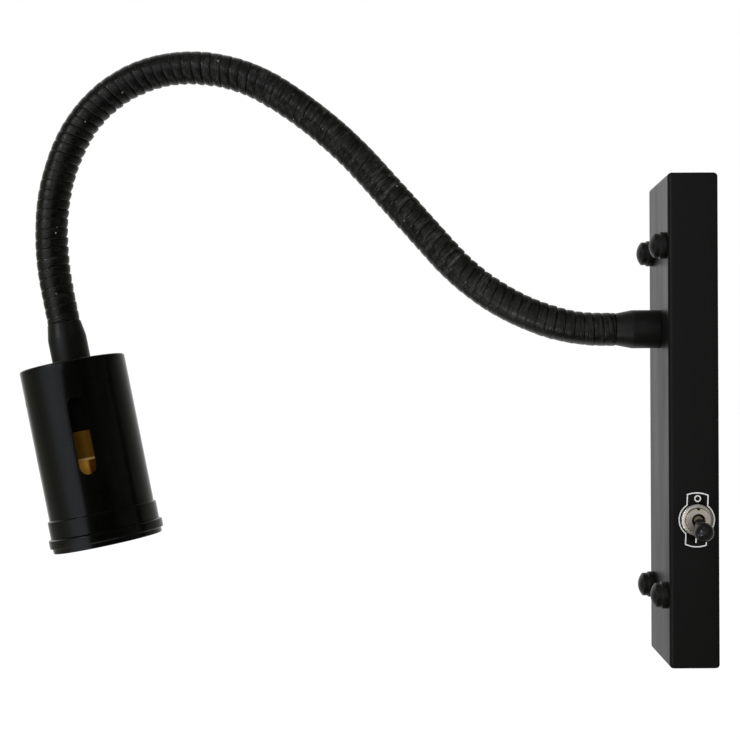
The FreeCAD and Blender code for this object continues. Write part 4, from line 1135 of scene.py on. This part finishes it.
# Long runs are divided, so that the cuts for the slot and the hole leave no long thin faces.
LONGEST_FACE = 4
dense = []
for (r1, h1), (r2, h2) in zip(cup_outline, cup_outline[1:] + cup_outline[:1]):
    parts = max(1, int(abs(h2 - h1) / LONGEST_FACE))
    dense += [(r1 + (r2 - r1) * n / parts, h1 + (h2 - h1) * n / parts) for n in range(parts)]
SLOT_TURN = math.radians(-8.4)
to_the_wall = Vector((head_axis.z, 0, -head_axis.x))
slot_across = Vector((0, 1, 0)) * math.cos(SLOT_TURN) - to_the_wall * math.sin(SLOT_TURN)
cup_place = standing(cup_top, head_axis, slot_across)
cup = turned("cup_spun", dense, around=144)
SLOT_HALF_WIDTH, SLOT_HALF_RUN, SLOT_MIDDLE = 4.2, 15.8, 38.9
slot_outline = []
for end, start in ((1, 0), (-1, math.pi)):
    for angle in np.linspace(start, start + math.pi, 17):
        across = SLOT_HALF_WIDTH * math.cos(angle)
        slot_outline.append((across, SLOT_MIDDLE + end * SLOT_HALF_RUN + SLOT_HALF_WIDTH * math.sin(angle)))
CUT_FROM, CUT_TO = 20, 32
slot_cutter = prism("slot_cutter", slot_outline, CUT_FROM, CUT_TO)
slot_cutter.matrix_world = Matrix(((1, 0, 0, 0), (0, 0, -1, 0), (0, 1, 0, 0), (0, 0, 0, 1)))
carve(cup, slot_cutter)
VENT_TURN, VENT_RADIUS, VENT_DOWN = math.radians(78.3), 1.4, 17.4
vent_cutter = prism("vent_cutter", ring_points(VENT_RADIUS, 0, 0, 24), CUT_FROM, CUT_TO)
vent_direction = Vector((math.sin(VENT_TURN), -math.cos(VENT_TURN), 0))
vent_cutter.matrix_world = standing((0, 0, VENT_DOWN), vent_direction, (0, 0, 1))
carve(cup, vent_cutter)
smooth(cup.data)
fit(cup, spun_black, "lamp_head", cup_place, ("lamp_cup",))

# The mouth ring: a turned ring seamed on to the cup, with a step, a chamfer above it and a lip below.
RING_RADIUS, LIP_RADIUS, LIP_START, LIP_END = CUP_RADIUS + 2.35, CUP_RADIUS + 1.1, 93.5, 96.0
ring_outline = rounded(
    [
        (CUP_INSIDE, BAND_END, 0.0),
        (BAND_RADIUS, BAND_END, 0.0),
        (RING_RADIUS, 89.0, 0.4),
        (RING_RADIUS, 93.2, 0.5),
        (LIP_RADIUS, LIP_START, 0.3),
        (LIP_RADIUS, LIP_END, 0.5),
        (CUP_INSIDE, LIP_END, 0.5),
    ],
    steps=4,
)
mouth_ring = turned("mouth_ring_turned", ring_outline, around=144)
fit(mouth_ring, spun_black, "lamp_head", cup_place, ("mouth_ring",))

# The lampholder: a black moulded cap, a brass shell with a rolled bead that shows through the slot, a
# porcelain core, a threaded lamp shell and two contacts.
paint("holder_cap", phenolic)
SHELL_START, SHELL_END, BEAD = 36.4, 77.2, 51.1
SHELL_INSIDE, SHELL_ABOVE, SHELL_BELOW, BEAD_RADIUS = 19.6, 20.4, 20.85, 21.15
shell_outline = rounded(
    [
        (SHELL_INSIDE, SHELL_START, 0.0),
        (SHELL_ABOVE, SHELL_START, 0.25),
        (SHELL_ABOVE, BEAD - 0.9, 0.3),
        (BEAD_RADIUS, BEAD - 0.35, 0.35),
        (BEAD_RADIUS, BEAD + 0.35, 0.3),
        (SHELL_BELOW, BEAD + 0.6, 0.3),
        (SHELL_BELOW, SHELL_END, 0.3),
        (SHELL_INSIDE, SHELL_END, 0.2),
    ],
    steps=5,
)
# The brass is rougher above the bead and painted darker there, for shade. The bead carries a painted
# highlight. Below it, one side is painted bright and the other dark, for light and shade.
lacquered, tree = new_material("brass_with_painted_light")
skin = placed(tree, coat_skin, Grain=0.5)
marks = placed(tree, wipe_marks, Patch=5.0, Stretch=(1.0, 1.0, 0.3), Sharpness=0.25)
body_place = add(tree, "TexCoord").outputs["Object"]
depth = part_of(tree, body_place, "Z")
below = carried(tree, depth, (BEAD + 0.4) * MM, (BEAD + 0.6) * MM)
off_bead = math_of(tree, "ABSOLUTE", math_of(tree, "SUBTRACT", depth, (BEAD - 0.1) * MM))
on_bead = carried(tree, off_bead, 0.65 * MM, 0.45 * MM)
# painted shade: the brass above the bead is darker
above_colour = blend_of(tree, marks["Mask"], (0.26, 0.12, 0.010, 1), (0.38, 0.18, 0.018, 1))
# painted light and shade: below the bead one side is painted bright and the other dark
shaded_side = carried(tree, part_of(tree, body_place, "X"), 0.8 * MM, -0.8 * MM)
below_colour = blend_of(tree, shaded_side, (0.85, 0.42, 0.055, 1), (0.13, 0.038, 0.004, 1))
colour = blend_of(tree, below, above_colour, below_colour)
# painted highlight along the bead
colour = blend_of(tree, on_bead, colour, (0.62, 0.41, 0.13, 1))
surface(
    tree,
    Base_Color=colour,
    Metallic=between(tree, either(tree, on_bead, below), 0.85, 0.6),
    Roughness=between(tree, below, 0.48, 0.26),
    Normal=raised(tree, skin["Height"], 0.004),
)
shell = turned("holder_shell_brass", shell_outline, around=144, sharp=50)
fit(shell, lacquered, "lamp_head", cup_place, ("holder_shell",))
porcelain = finish(
    "glazed_porcelain",
    (9.0, EVENLY, 0.3),
    (0.78, 0.76, 0.70),
    (0.84, 0.83, 0.79),
    rough=(0.22, 0.12),
)
paint("holder_core", porcelain)
for brass_piece in ("lamp_thread_shell", "centre_contact", "side_contact"):
    paint(brass_piece, brass)
